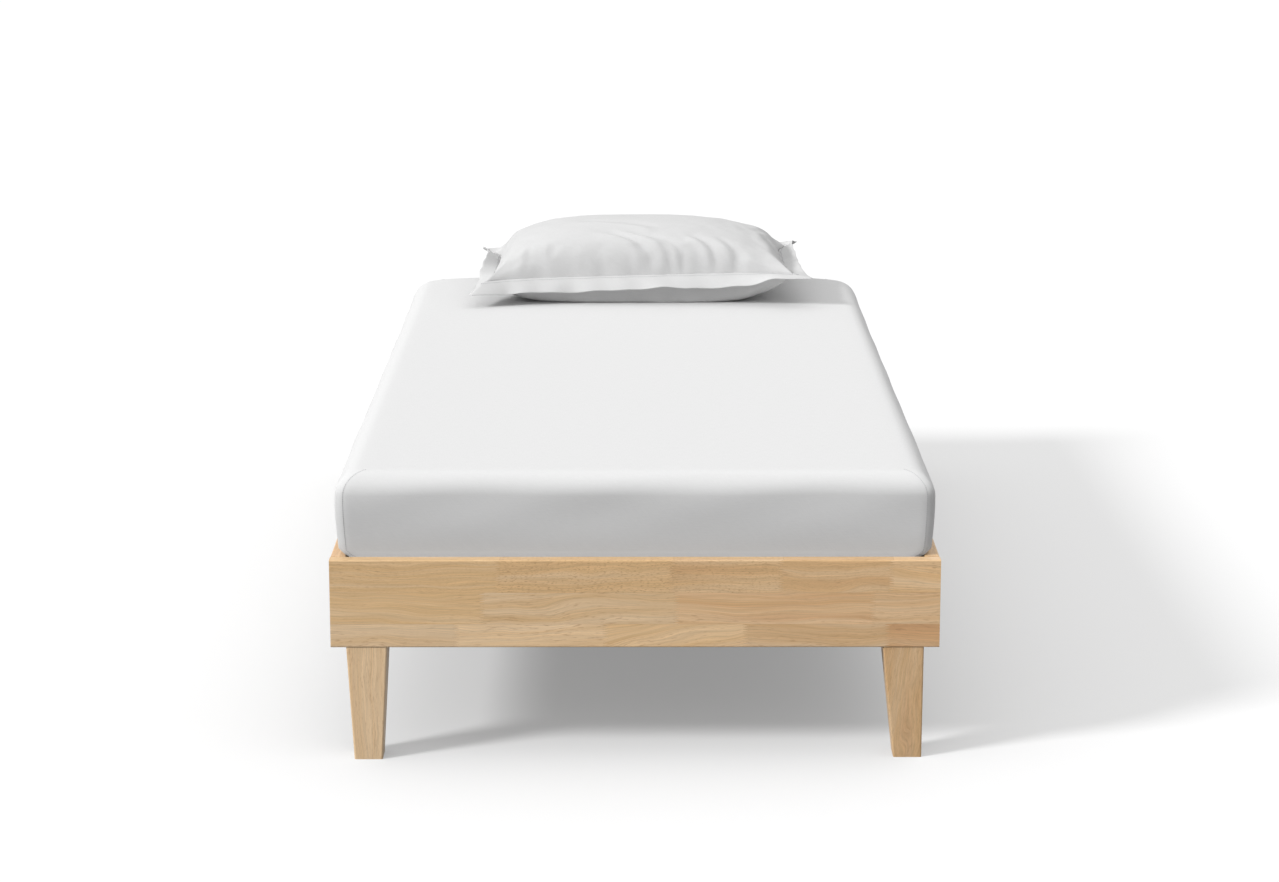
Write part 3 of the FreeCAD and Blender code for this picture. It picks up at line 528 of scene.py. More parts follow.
@dataclass(frozen=True)
class Timber:
    """The finish of a wooden piece."""

    name: str
    run: Run
    jointing: Jointing
    # gold and pale hold the wood's own hues but are lighter than the wood is, standing in for the stronger
    # light on the rail: part of their brightness is painted light.
    gold: Colour = (0.80, 0.535, 0.275)
    pale: Colour = (0.90, 0.665, 0.420)
    red: Colour = (0.62, 0.335, 0.165)
    pore: Colour = (0.42, 0.225, 0.105)
    pale_share: float = 0.3
    red_share: float = 0.1
    slant: float = 0.0
    seed: float = 0.0
    row_height: float = 0.0473
    stave_length: float = 0.52
    roughness: float = 0.42

    def material(self, effects: Effects) -> Finish:
        """Mix the finish.

        Args:
            effects: The shared shader groups.

        Returns:
            The material.
        """
        material, graph, shader = new_material(self.name)
        place = graph.object_place()
        along, across, through = (place[axis] for axis in self.run.value)
        stave, glue, pale, red, slant, coarse = self.staves(graph, effects, along, across)
        grain = graph.use(
            effects.grain, Along=along, Across=across, Through=through, Stave=stave, Slant=slant,
            Coarse=coarse,
        )
        band, streak = grain.outputs["Band"], grain.outputs["Streak"]
        pale_here = graph.math("MULTIPLY_ADD", graph.math("SUBTRACT", band, 0.5), -0.95, pale)
        wood = graph.mix(graph.remap(pale_here, 0.0, 1.0), self.gold, self.pale)
        reach = graph.remap(red, 0.0, 0.3, 0.3, 1.0)
        streaked = graph.math("MULTIPLY", graph.math("MULTIPLY", streak, 0.45), reach)
        red_here = graph.math("ADD", streaked, red)
        red_here = graph.math("MULTIPLY", red_here, graph.remap(band, 0.0, 1.0, 0.7, 1.2))
        wood = graph.mix(graph.remap(red_here, 0.0, 1.0), wood, self.red)
        fibre = graph.remap(grain.outputs["Fibre"], 0.0, 1.0, 0.83, 1.10)
        tone = graph.remap(grain.outputs["Tone"], 0.0, 1.0, 0.93, 1.05)
        shade = graph.math("MULTIPLY", fibre, tone)
        wood = graph.shaded(wood, shade)
        wood = graph.mix(graph.math("MULTIPLY", grain.outputs["Pore"], 0.60), wood, self.pore)
        wood = graph.mix(graph.math("MULTIPLY", glue, 0.50), wood, self.pore)
        # Bounced light sees the wood mostly as plain grey, so the lightened wood throws less light onto the
        # sheet and floor than its colour would: painted shade by way of the bounce colour.
        bounced = graph.node("ShaderNodeLightPath").outputs["Is Diffuse Ray"]
        wood = graph.mix(graph.math("MULTIPLY", bounced, 0.8), wood, (0.42, 0.42, 0.42))
        graph.feed(shader.inputs["Base Color"], wood)
        rough = graph.remap(grain.outputs["Fibre"], 0.0, 1.0, self.roughness - 0.04, self.roughness + 0.08)
        graph.feed(shader.inputs["Roughness"], rough)
        graph.feed(shader.inputs["Normal"], graph.bump(grain.outputs["Height"], 0.00012, 0.6))
        shader.inputs["Specular IOR Level"].default_value = 0.42
        return material

    def staves(self, graph: Graph, effects: Effects, along: Socket, up: Socket) -> tuple[Value, ...]:
        """Tell the staves of the piece apart.

        Args:
            graph: The material's graph.
            effects: The shared shader groups.
            along: The coordinate along the grain.
            up: The coordinate across it.

        Returns:
            A number for each stave, the mask of the glue lines, and how pale, red, slanted and coarse the
            stave is.
        """
        if self.jointing is Jointing.KNOWN_STAVES:
            group = graph.use(effects.foot_staves, Along=along, Up=up)
        elif self.jointing is Jointing.RULED_STAVES:
            group = graph.use(
                effects.long_staves, Along=along, Up=up, Row_Height=self.row_height,
                Stave_Length=self.stave_length, Seed=self.seed,
            )
        else:
            one = graph.math("MULTIPLY_ADD", along, 0.0, self.seed)
            return one, graph.math("MULTIPLY", one, 0.0), self.pale_share, self.red_share, self.slant, 0.25
        return tuple(group.outputs[label] for label in STAVE_OUTPUTS)


@dataclass(frozen=True)
class Metal:
    """The finish of a bolt, screw, staple or insert."""

    name: str
    colour: Colour
    roughness: float = 0.32

    def material(self) -> Finish:
        """Mix the finish, with faint turning marks and a mottled plating.

        Returns:
            The material.
        """
        material, graph, shader = new_material(self.name)
        place = graph.node("ShaderNodeTexCoord").outputs["Object"]
        mottle = graph.noise(place, scale=900.0, detail=3.0)
        marks = graph.noise(graph.vector("MULTIPLY", place, (6000.0, 700.0, 700.0)), detail=1.0)
        shade = graph.remap(mottle, 0.3, 0.7, 0.86, 1.06)
        graph.feed(shader.inputs["Base Color"], graph.shaded(self.colour, shade))
        rough = graph.remap(marks, 0.3, 0.7, self.roughness - 0.06, self.roughness + 0.12)
        graph.feed(shader.inputs["Roughness"], rough)
        graph.feed(shader.inputs["Normal"], graph.bump(marks, 0.00004, 0.4))
        shader.inputs["Metallic"].default_value = 1.0
        return material


@dataclass(frozen=True)
class Cotton:
    """The finish of a woven cloth."""

    name: str
    colour: Colour = (0.72, 0.72, 0.72)
    thread: float = 0.0006
    relief: float = 0.00006
    roughness: float = 0.85
    sheen: float = 0.06

    def material(self, effects: Effects) -> Finish:
        """Mix the finish.

        Args:
            effects: The shared shader groups.

        Returns:
            The material.
        """
        material, graph, shader = new_material(self.name)
        x, y, z = graph.object_place()
        weave = graph.use(
            effects.weave, Across=graph.math("ADD", x, graph.math("MULTIPLY", z, 0.9)),
            Along=graph.math("ADD", y, z), Thread=self.thread,
        )
        shade = graph.remap(weave.outputs["Shade"], 0.0, 1.0, 0.97, 1.02)
        graph.feed(shader.inputs["Base Color"], graph.shaded(self.colour, shade))
        graph.feed(shader.inputs["Normal"], graph.bump(weave.outputs["Height"], self.relief, 0.6))
        shader.inputs["Roughness"].default_value = self.roughness
        shader.inputs["Sheen Weight"].default_value = self.sheen
        shader.inputs["Sheen Roughness"].default_value = 0.5
        shader.inputs["Specular IOR Level"].default_value = 0.25
        return material


# ------------------------------------------------------------------------------------------------
# meshes
# ------------------------------------------------------------------------------------------------


def new_piece(name: str, points: np.ndarray, faces: Faces, smooth: bool = True) -> Piece:
    """Make a mesh object at the origin.

    Args:
        name: The piece's name.
        points: Its points, one row each.
        faces: Its faces, as indices of points.
        smooth: Whether it is shaded smooth.

    Returns:
        The object.
    """
    mesh = bpy.data.meshes.new(name)
    mesh.from_pydata([tuple(point) for point in points], [], [tuple(face) for face in faces])
    mesh.update()
    mesh.shade_smooth() if smooth else mesh.shade_flat()
    piece = bpy.data.objects.new(name, mesh)
    bpy.context.scene.collection.objects.link(piece)
    return piece


def points_of(piece: Piece) -> np.ndarray:
    """The points of a piece, one row each."""
    return np.array([tuple(vertex.co) for vertex in piece.data.vertices])


def move_points(piece: Piece, points: np.ndarray) -> None:
    """Put the points of a piece elsewhere."""
    piece.data.vertices.foreach_set("co", points.reshape(-1))
    piece.data.update()


def walls(rows: int, sides: int, flip: bool = False, closed: bool = False) -> list[tuple[int, ...]]:
    """Join rows of points, each a loop, into the walls of a tube.

    Args:
        rows: How many loops there are.
        sides: How many points each has.
        flip: Whether the walls face the other way.
        closed: Whether the last loop joins the first.

    Returns:
        The faces.
    """
    faces = []
    for row in range(rows if closed else rows - 1):
        low, high = row * sides, (row + 1) % rows * sides
        for side in range(sides):
            after = (side + 1) % sides
            face = (low + side, low + after, high + after, high + side)
            faces.append(face[::-1] if flip else face)
    return faces


def circle(reach: float, level: float, sides: int, start: float = 0.0) -> list[tuple[float, float, float]]:
    """Draw a level circle.

    Args:
        reach: Its radius.
        level: Its height.
        sides: How many points it has.
        start: The angle of its first point, in radians.

    Returns:
        The points.
    """
    angles = [start + step * math.tau / sides for step in range(sides)]
    return [(reach * math.cos(angle), reach * math.sin(angle), level) for angle in angles]


def dress(piece: Piece, material: Finish) -> None:
    """Give an object one material in place of its own.

    Args:
        piece: The object.
        material: The material.
    """
    piece.data.materials.clear()
    piece.data.materials.append(material)
    for polygon in piece.data.polygons:
        polygon.material_index = 0


def apply_modifiers(piece: Piece) -> None:
    """Turn what an object's modifiers show into its own mesh.

    Args:
        piece: The object, which keeps its name and loses its modifiers.
    """
    ready = piece.evaluated_get(bpy.context.evaluated_depsgraph_get())
    mesh = bpy.data.meshes.new_from_object(ready)
    piece.modifiers.clear()
    old = piece.data
    piece.data = mesh
    mesh.name = piece.name
    bpy.data.meshes.remove(old)


def join_pieces(first: Piece, second: Piece) -> Piece:
    """Put a second mesh into the first one, beside what it holds.

    Args:
        first: The piece that stays.
        second: The piece that is taken in and removed.

    Returns:
        The first piece.
    """
    begin = len(first.data.vertices)
    points = np.concatenate([points_of(first), points_of(second)])
    faces = [tuple(face.vertices) for face in first.data.polygons]
    faces += [tuple(begin + corner for corner in face.vertices) for face in second.data.polygons]
    old = first.data
    mesh = bpy.data.meshes.new(first.name)
    mesh.from_pydata([tuple(point) for point in points], [], faces)
    mesh.shade_smooth()
    first.data = mesh
    bpy.data.meshes.remove(old)
    bpy.data.objects.remove(second)
    return first


def seat(
    piece: Piece, body: str, stands_for: Sequence[str] = (), material: Finish = None
) -> None:
    """Hang a finished piece on its body, and report it.

    Args:
        piece: The piece.
        body: The body that it moves with.
        stands_for: The nodes that it replaces.
        material: Its finish, where it has none yet.
    """
    if material is not None:
        dress(piece, material)
    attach(piece, body)
    if stands_for:
        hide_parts(*stands_for)
    LOG.info("%s: %d faces, on %s", piece.name, len(piece.data.polygons), body)


def islands(node: Piece) -> list[tuple[Vector, Vector]]:
    """Find the separate solids of a node.

    Args:
        node: A node of the frame, which is only read.

    Returns:
        The lowest and the highest corner of each solid, sorted by place so that the order is the same
        each run.
    """
    mesh = bmesh.new()
    mesh.from_mesh(node.data)
    bmesh.ops.remove_doubles(mesh, verts=mesh.verts, dist=1e-6)
    left = set(mesh.verts)
    found = []
    while left:
        reached = [left.pop()]
        group = [reached[0].co.copy()]
        while reached:
            for edge in reached.pop().link_edges:
                for vertex in edge.verts:
                    if vertex in left:
                        left.remove(vertex)
                        reached.append(vertex)
                        group.append(vertex.co.copy())
        low = Vector(min(spot[axis] for spot in group) for axis in range(3))
        high = Vector(max(spot[axis] for spot in group) for axis in range(3))
        found.append((low, high))
    mesh.free()
    return sorted(found, key=lambda corners: tuple(corners[0]))


# ------------------------------------------------------------------------------------------------
# what repeats: fasteners and stitches
# ------------------------------------------------------------------------------------------------


SIDES = 12
FIRST_SIDE = math.radians(-15)


class Drive(Enum):
    """The recess in a fastener's head."""

    HEXAGON = "a key's six-sided socket"
    CROSS = "a screwdriver's cross"

    def outline(self, size: float) -> list[tuple[float, float]]:
        """Draw the recess as twelve points, counter-clockwise.

        Args:
            size: Half its width.

        Returns:
            The points.
        """
        if self is Drive.CROSS:
            arm = size * 0.28
            quarter = [(size, -arm), (size, arm), (arm, arm)]
            points = []
            for _ in range(4):
                points += quarter
                quarter = [(-y, x) for x, y in quarter]
            return points
        corner = circle(size / math.cos(math.radians(30)), 0.0, SIDES, FIRST_SIDE)
        flat = circle(size, 0.0, SIDES, FIRST_SIDE)
        return [(corner if step % 2 == 0 else flat)[step][:2] for step in range(SIDES)]


@dataclass(frozen=True)
class Fastener:
    """A bolt or screw, drawn once and set many times: its head stands on z = 0 and its shank hangs below."""

    name: str
    drive: Drive
    head: float
    head_height: float
    shank: float
    length: float
    pointed: bool

    def template(self) -> Piece:
        """Draw the fastener as rings of twelve points.

        Returns:
            The template, which is removed once its copies are set.
        """
        head, rise, shank = self.head / 2, self.head_height, self.shank / 2
        tip = 0.0002 if self.pointed else shank * 0.8
        rings = [(tip, -self.length), (shank, -self.length + (0.006 if self.pointed else 0.001))]
        rings += [(shank, -0.0004), (head * 0.96, 0.0), (head, rise * 0.12), (head, rise * 0.62)]
        rings += [(head * 0.90, rise * 0.90), (head * 0.74, rise)]
        points = [point for ring in rings for point in circle(*ring, SIDES, FIRST_SIDE)]
        socket = self.drive.outline(head * 0.46)
        points += [(x, y, rise * 0.97) for x, y in socket]
        points += [(x * 0.82, y * 0.82, rise * 0.30) for x, y in socket]
        faces: list[tuple[int, ...]] = [tuple(range(SIDES - 1, -1, -1))]
        faces += walls(len(rings) + 2, SIDES)
        faces.append(tuple(range(len(points) - SIDES, len(points))))
        return new_piece(self.name, np.array(points), faces, smooth=False)


@dataclass
class Setter:
    """Sets copies of a template on points, each turned its own way, with one tree of Geometry Nodes."""

    seed: int = STEEL_TURN

    def tree(self) -> bpy.types.NodeTree:
        """Build the tree.

        Returns:
            The tree: points in, set copies out.
        """
        tree = bpy.data.node_groups.new("set_on_points", "GeometryNodeTree")
        sockets = {
            "Points": "Geometry", "Template": "Object", "Size": "Float", "Twist": "Float", "Seed": "Int",
            "Finish": "Material",
        }
        for label, kind in sockets.items():
            tree.interface.new_socket(label, in_out="INPUT", socket_type=f"NodeSocket{kind}")
        tree.interface.new_socket("Copies", in_out="OUTPUT", socket_type="NodeSocketGeometry")
        graph = Graph(tree)
        given = graph.node("NodeGroupInput").outputs
        shape = graph.node("GeometryNodeObjectInfo", transform_space="ORIGINAL")
        graph.feed(shape.inputs["Object"], given["Template"])
        way = graph.node("GeometryNodeInputNamedAttribute", "way", data_type="FLOAT_VECTOR")
        facing = graph.node("FunctionNodeAlignRotationToVector", axis="Z")
        graph.feed(facing.inputs["Vector"], way.outputs["Attribute"])
        chance = graph.node("FunctionNodeRandomValue", data_type="FLOAT")
        graph.feed(chance.inputs["Seed"], given["Seed"])
        angle = graph.math("MULTIPLY", chance.outputs[1], given["Twist"])
        spin = graph.node("FunctionNodeAxisAngleToRotation", (0.0, 0.0, 1.0), angle)
        turned = graph.node(
            "FunctionNodeRotateRotation", facing.outputs[0], spin.outputs[0], rotation_space="LOCAL"
        )
        copies = graph.node("GeometryNodeInstanceOnPoints")
        graph.feed(copies.inputs["Points"], given["Points"])
        graph.feed(copies.inputs["Instance"], shape.outputs["Geometry"])
        graph.feed(copies.inputs["Rotation"], turned.outputs[0])
        graph.feed(copies.inputs["Scale"], graph.combine(given["Size"], given["Size"], given["Size"]))
        real = graph.node("GeometryNodeRealizeInstances", copies.outputs[0])
        finish = graph.node("GeometryNodeSetMaterial")
        graph.feed(finish.inputs["Geometry"], real.outputs[0])
        graph.feed(finish.inputs["Material"], given["Finish"])
        ending = graph.node("NodeGroupOutput")
        graph.feed(ending.inputs["Copies"], finish.outputs[0])
        return tree

    def set(
        self, name: str, template: Piece, places: np.ndarray, ways: np.ndarray,
        material: Finish, twist: float = 0.0,
    ) -> Piece:
        """Set a template on points.

        Args:
            name: The new piece's name.
            template: What is copied; it is removed.
            places: The points.
            ways: Which way each copy's z axis points.
            material: The copies' finish.
            twist: How far a copy may be turned about its axis, in radians.

        Returns:
            The copies as one plain mesh.
        """
        piece = new_piece(name, places, [])
        attribute = piece.data.attributes.new("way", "FLOAT_VECTOR", "POINT")
        attribute.data.foreach_set("vector", np.asarray(ways, dtype=float).reshape(-1))
        tree = bpy.data.node_groups.get("set_on_points") or self.tree()
        modifier = piece.modifiers.new("set", "NODES")
        modifier.node_group = tree
        values = {"Template": template, "Size": 1.0, "Twist": twist, "Seed": self.seed, "Finish": material}
        for item in tree.interface.items_tree:
            if item.in_out == "INPUT" and item.name in values:
                modifier[item.identifier] = values[item.name]
        apply_modifiers(piece)
        dress(piece, material)
        bpy.data.objects.remove(template)
        return piece

    def stitches(
        self, name: str, lines: Sequence[np.ndarray], pitch: float, thread: float, material: Finish
    ) -> Piece:
        """Sew along lines.

        Args:
            name: The new piece's name.
            lines: The lines, each as its points.
            pitch: From one stitch to the next.
            thread: How thick the thread is.
            material: Its finish.

        Returns:
            The stitches as one plain mesh.
        """
        places, ways = [], []
        for line in lines:
            passed = distance_along(line)
            count = max(2, int(passed[-1] / pitch))
            runs = (np.arange(count) + 0.5) * passed[-1] / count
            places.append(walk(line, runs))
            ways.append(walk(line, runs + pitch * 0.3) - walk(line, runs - pitch * 0.3))
        half, middle, end, sides = pitch * 0.34, thread / 2, thread / 2 * 0.45, 5
        rings = [(end, -half), (middle, -half * 0.7), (middle, half * 0.7), (end, half)]
        points = [point for ring in rings for point in circle(*ring, sides)]
        last = len(points) - sides
        faces: list[tuple[int, ...]] = [tuple(range(sides - 1, -1, -1)), tuple(range(last, len(points)))]
        stitch = new_piece("stitch", np.array(points), faces + walls(len(rings), sides))
        return self.set(name, stitch, np.concatenate(places), np.concatenate(ways), material)


def distance_along(line: np.ndarray) -> np.ndarray:
    """How far each point of a line lies from its start, along the line."""
    steps = np.linalg.norm(np.diff(line, axis=0), axis=1)
    return np.concatenate([[0.0], np.cumsum(steps)])


def walk(line: np.ndarray, runs: np.ndarray) -> np.ndarray:
    """Find the places at given distances along a line."""
    passed = distance_along(line)
    return np.stack([np.interp(runs, passed, line[:, axis]) for axis in range(3)], axis=1)


def ribbon(
    name: str, middle: np.ndarray, side: np.ndarray, width: float, thickness: float, closed: bool = False
) -> Piece:
    """Make a flat band with rounded edges along a line.

    Args:
        name: The piece's name.
        middle: The points of its middle line.
        side: At each of them, the unit vector across the band.
        width: How wide it is.
        thickness: How thick it is.
        closed: Whether its ends meet.

    Returns:
        The piece.
    """
    half, deep = width / 2, thickness / 2
    section = [(-half, 0.0), (-half + deep, -deep), (0.0, -deep), (half - deep, -deep), (half, 0.0)]
    section += [(half - deep, deep), (0.0, deep), (-half + deep, deep)]
    along = np.gradient(middle, axis=0)
    up = np.cross(side, along)
    up /= np.linalg.norm(up, axis=1)[:, None]
    up *= np.sign(up[:, 2:3] + 1e-9)
    flip = np.linalg.det(np.stack([side, along, up], axis=2)).mean() < 0
    rows = [middle + a * side + b * up for a, b in section]
    points = np.stack(rows, axis=1).reshape(-1, 3)
    count, sides = len(middle), len(section)
    faces: list[tuple[int, ...]] = walls(count, sides, not flip, closed)
    if not closed:
        first, last = tuple(range(sides)), tuple(range((count - 1) * sides, count * sides))
        faces += [first[::-1] if flip else first, last if flip else last[::-1]]
    return new_piece(name, points, faces)


@dataclass(frozen=True)
class Ring:
    """One level line round the mattress: half width, half length, and height."""

    half_width: float
    half_length: float
    height: float


@dataclass
class Bedding:
    """The mattress and its sheet, both drawn round the same rings."""

    steps_across: int = 84
    steps_along: int = 180
    foot_corner: float = 0.008
    head_corner: float = 0.075

    def ring_points(self, ring: Ring, corner_growth: float, shift: float) -> np.ndarray:
        """Walk round a rectangle with round corners, from its foot-left corner, counter-clockwise.

        Args:
            ring: The rectangle's size and height.
            corner_growth: How much wider the corners are than the smallest ones.
            shift: How far the ring lies towards the head.

        Returns:
            The points, steps_across and steps_along on each pair of sides.
        """
        width, length = ring.half_width, ring.half_length
        foot = max(0.004, self.foot_corner + 0.15 * corner_growth)
        head = max(0.004, self.head_corner + corner_growth)
        corners = [(-1, -1, foot), (1, -1, foot), (1, 1, head), (-1, 1, head)]
        starts = (180, 270, 0, 90)
        points = []
        for side in range(4):
            x_a, y_a, r_a = corners[side]
            x_b, y_b, r_b = corners[(side + 1) % 4]
            centre_a = Vector((x_a * (width - r_a), y_a * (length - r_a)))
            centre_b = Vector((x_b * (width - r_b), y_b * (length - r_b)))
            steps = self.steps_across if side % 2 == 0 else self.steps_along
            out = math.radians(starts[side] + 90)
            facing = Vector((math.cos(out), math.sin(out)))
            straight = (centre_b - centre_a).length
            arc_a, arc_b = r_a * math.pi / 4, r_b * math.pi / 4
            whole = arc_a + straight + arc_b
            way = (centre_b + facing * r_b) - (centre_a + facing * r_a)
            for step in range(steps):
                run = whole * step / steps
                if run < arc_a:
                    angle = out - math.pi / 4 + run / r_a
                    spot = centre_a + Vector((math.cos(angle), math.sin(angle))) * r_a
                elif run > arc_a + straight:
                    angle = out + (run - arc_a - straight) / r_b
                    spot = centre_b + Vector((math.cos(angle), math.sin(angle))) * r_b
                else:
                    spot = centre_a + facing * r_a + way * ((run - arc_a) / straight)
                points.append((spot.x, spot.y + shift, ring.height))
        return np.array(points)

    def shell(
        self, name: str, rings: Sequence[tuple[Ring, float]], shift: float, closed: bool
    ) -> Piece:
        """Join rings into a shell whose top is a regular grid.

        Args:
            name: The piece's name.
            rings: The rings from the underside outwards and up to the top, each with its corner growth.
            shift: How far the shell lies towards the head.
            closed: Whether the underside is closed too.

        Returns:
            The piece.
        """
        loops = [self.ring_points(ring, growth, shift) for ring, growth in rings]
        points = np.concatenate(loops)
        count = len(loops[0])
        faces = walls(len(loops), count)
        points, faces = self.fill(points, faces, loops[-1], (len(loops) - 1) * count, upwards=True)
        if closed:
            points, faces = self.fill(points, faces, loops[0], 0, upwards=False)
        return new_piece(name, points, faces)

    def fill(
        self, points: np.ndarray, faces: list[tuple[int, ...]], loop: np.ndarray, first: int, upwards: bool
    ) -> tuple[np.ndarray, list[tuple[int, ...]]]:
        """Fill a loop with a regular grid of faces.

        Args:
            points: The points so far.
            faces: The faces so far.
            loop: The loop's own points.
            first: The index of the loop's first point.
            upwards: Whether the new faces look up.

        Returns:
            The points and faces with the grid added.
        """
        across, along = self.steps_across, self.steps_along
        share_x = np.linspace(0, 1, across + 1)[:, None, None]
        share_y = np.linspace(0, 1, along + 1)[None, :, None]
        foot = loop[: across + 1]
        right = loop[across: across + along + 1]
        head = loop[across + along: 2 * across + along + 1][::-1]
        left = np.concatenate([loop[2 * across + along:], loop[:1]])[::-1]
        grid = (1 - share_y) * foot[:, None] + share_y * head[:, None]
        grid = grid + (1 - share_x) * left[None] + share_x * right[None]
        grid = grid - (1 - share_x) * (1 - share_y) * foot[0] - share_x * (1 - share_y) * foot[-1]
        grid = grid - (1 - share_x) * share_y * head[0] - share_x * share_y * head[-1]
        index = np.zeros((across + 1, along + 1), int)
        edge = first + np.arange(2 * (across + along))
        index[:, 0] = edge[: across + 1]
        index[-1, :] = edge[across: across + along + 1]
        index[:, -1] = edge[across + along: 2 * across + along + 1][::-1]
        index[0, 1:] = edge[2 * across + along:][::-1]
        inner = (across - 1) * (along - 1)
        index[1:-1, 1:-1] = len(points) + np.arange(inner).reshape(across - 1, along - 1)
        points = np.concatenate([points, grid[1:-1, 1:-1].reshape(-1, 3)])
        for i in range(across):
            for j in range(along):
                face = (index[i, j], index[i + 1, j], index[i + 1, j + 1], index[i, j + 1])
                faces.append(face if upwards else face[::-1])
        return points, faces


@dataclass
class Mattress(Bedding):
    """The mattress: a firm layer between the rails, a softer one that spreads over them, in ticking."""

    half_width: float = 0.452
    half_length: float = 1.002
    end_overhang: float = 0.016
    base: float = 0.260
    crown: float = 0.440
    lip_level: float = 0.325
    lip_rise: float = 0.004
    lip_edge: float = 0.008
    swell_level: float = 0.405
    swell_reach: float = 0.020
    foot_rise: float = 0.020
    tuck: float = 0.0035
    shoulder_reach: float = 0.037
    shoulder_round: float = 0.033
    towards_foot: float = 0.003

    def rings(self, inset: float) -> list[tuple[Ring, float]]:
        """The mattress's outline as rings, from its bottom edge up and over the shoulder.

        Args:
            inset: How far inside the sheet's outer face the rings lie.

        Returns:
            The rings, each with how much its corners are wider than the smallest ones.
        """
        width, length = self.half_width - inset, self.half_length - inset
        upper_length = length - self.end_overhang
        base, crown = self.base + inset, self.crown - inset
        rings = [
            (Ring(width - 0.005, length - 0.005, base), -0.005),
            (Ring(width, length, base + 0.005), 0.0),
        ]
        for level in np.linspace(base + 0.020, self.lip_level, 5):
            rings.append((Ring(width, length, level), 0.0))
        lip_reach = self.end_overhang
        rings.append((Ring(width + lip_reach - self.lip_edge, length, self.lip_level + self.lip_rise), 0.004))
        lip_top = self.lip_level + self.lip_rise + self.lip_edge
        for share in np.linspace(0, 1, 9):
            reach = lip_reach + (self.swell_reach - lip_reach) * math.sin(share * math.pi / 2)
            level = lip_top + (self.swell_level - lip_top) * share
            rings.append((Ring(width + reach, upper_length + reach, level), reach))
        for reach, level in self.shoulder(crown, inset):
            rings.append((Ring(width + reach, upper_length + reach, level), reach))
        for further in (0.02, 0.05, 0.09):
            reach = self.swell_reach - self.shoulder_reach - further
            rings.append((Ring(width + reach, upper_length + reach, crown), reach))
        return rings

    def shoulder(self, crown: float, inset: float) -> list[tuple[float, float]]:
        """Walk over the rounded top edge, in a tight and then a wide arc that leave each other smoothly.

        Args:
            crown: The height of the top.
            inset: How far inside the sheet's outer face the outline lies.

        Returns:
            Pairs of how far out and how high the outline is.
        """
        tight, reach = self.shoulder_round - inset, self.shoulder_reach - inset
        rise = crown - self.swell_level
        wide = ((reach - tight) ** 2 + rise**2 - tight**2) / (2 * (rise - tight))
        turn = math.atan2(wide - rise, reach - tight)
        swell, top_x = self.swell_reach, self.swell_reach - reach
        first = [
            (swell - tight + tight * math.cos(angle), self.swell_level + tight * math.sin(angle))
            for angle in np.linspace(0, turn, 6)[1:]
        ]
        second = [
            (top_x + wide * math.cos(angle), crown - wide + wide * math.sin(angle))
            for angle in np.linspace(turn, math.pi / 2, 8)[1:]
        ]
        return first + second

    def give_life(self, piece: Piece) -> None:
        """Crown the mattress, tuck its lower edge in and let its faces wave as soft filling does.

        Args:
            piece: The mattress or its sheet, which both move alike.
        """
        points = points_of(piece)
        x, y, z = points.T.copy()
        upper = np.clip((z - 0.345) / 0.060, 0, 1)
        crown = self.foot_rise * np.clip((0.53 - y) / 1.50, 0, 1)
        near_end = np.clip((np.abs(y) - 0.90) / 0.11, 0, 1)
        droop = np.where(y > 0, 0.007, 0.0) * near_end**2
        corner = np.clip((np.abs(x) - 0.30) / 0.17, 0, 1) ** 2 * np.clip((y - 0.80) / 0.20, 0, 1) ** 2
        z += upper * (crown - droop - 0.010 * corner)
        low = np.clip(1 - (points[:, 2] - 0.329) / 0.040, 0, 1) ** 2
        side = np.clip((np.abs(y) - 0.985) / 0.01, 0, 1)
        y -= np.sign(y) * self.tuck * low * side
        flank = np.clip((np.abs(x) - 0.455) / 0.006, 0, 1)
        wave = np.sin(y * 9.0 + 1.0) * np.sin(z * 30.0)
        wave += 0.6 * np.sin(y * 21.0 + 2.3) * np.sin(z * 47.0 + 1.0)
        x += np.sign(x) * flank * upper * 0.0009 * wave
        front = np.clip((-y - 0.985) / 0.012, 0, 1) * upper
        wave = np.sin(x * 11.0 + z * 40.0) + 0.7 * np.sin(x * 23.0 - z * 60.0 + 1.3)
        y += front * 0.0010 * wave
        move_points(piece, np.stack([x, y, z], axis=1))

    def quilt(self, piece: Piece) -> None:
        """Sink the quilting lines into the ticking's underside.

        Args:
            piece: The mattress.
        """
        points = points_of(piece)
        x, y, z = points.T
        margin, spacing, sink, width = 0.03, 0.130, 0.0030, 0.008
        inside = (np.abs(x) < self.half_width - margin) & (np.abs(y) < self.half_length - margin)
        under = (z < self.base + 0.004) & inside
        for way in (1, -1):
            place = (x + way * y) / spacing
            off = np.abs(place - np.round(place)) * spacing / math.sqrt(2)
            z = z + under * sink * np.exp(-((off / width) ** 2))
        move_points(piece, np.stack([x, y, z], axis=1))

    def build(self, finishes: "Finishes") -> None:
        """Make the mattress under its sheet.

        Args:
            finishes: The cloth finishes.
        """
        piece = self.shell("mattress", self.rings(0.0022), -self.towards_foot, closed=True)
        self.give_life(piece)
        self.quilt(piece)
        layers = ["mattress_core", "mattress_comfort_layer"]
        seat(piece, "mattress", layers, finishes.ticking)

    def corner_lines(self, piece: Piece, rings: int) -> list[np.ndarray]:
        """Follow the seam at each of the sheet's corners, from its hem up over the shoulder.

        Args:
            piece: The sheet, before it gets its thickness.
            rings: How many rings it has.

        Returns:
            The four lines, a hair outside the cloth.
        """
        points = points_of(piece)
        normals = np.array([tuple(vertex.normal) for vertex in piece.data.vertices])
        across, along = self.steps_across, self.steps_along
        count = 2 * (across + along)
        places = (1, across - 1, across + along + 1, 2 * across + along - 1)
        lines = []
        for place in places:
            picks = [ring * count + place for ring in range(8, rings - 3)]
            lines.append(points[picks] + normals[picks] * 0.0002)
        return lines

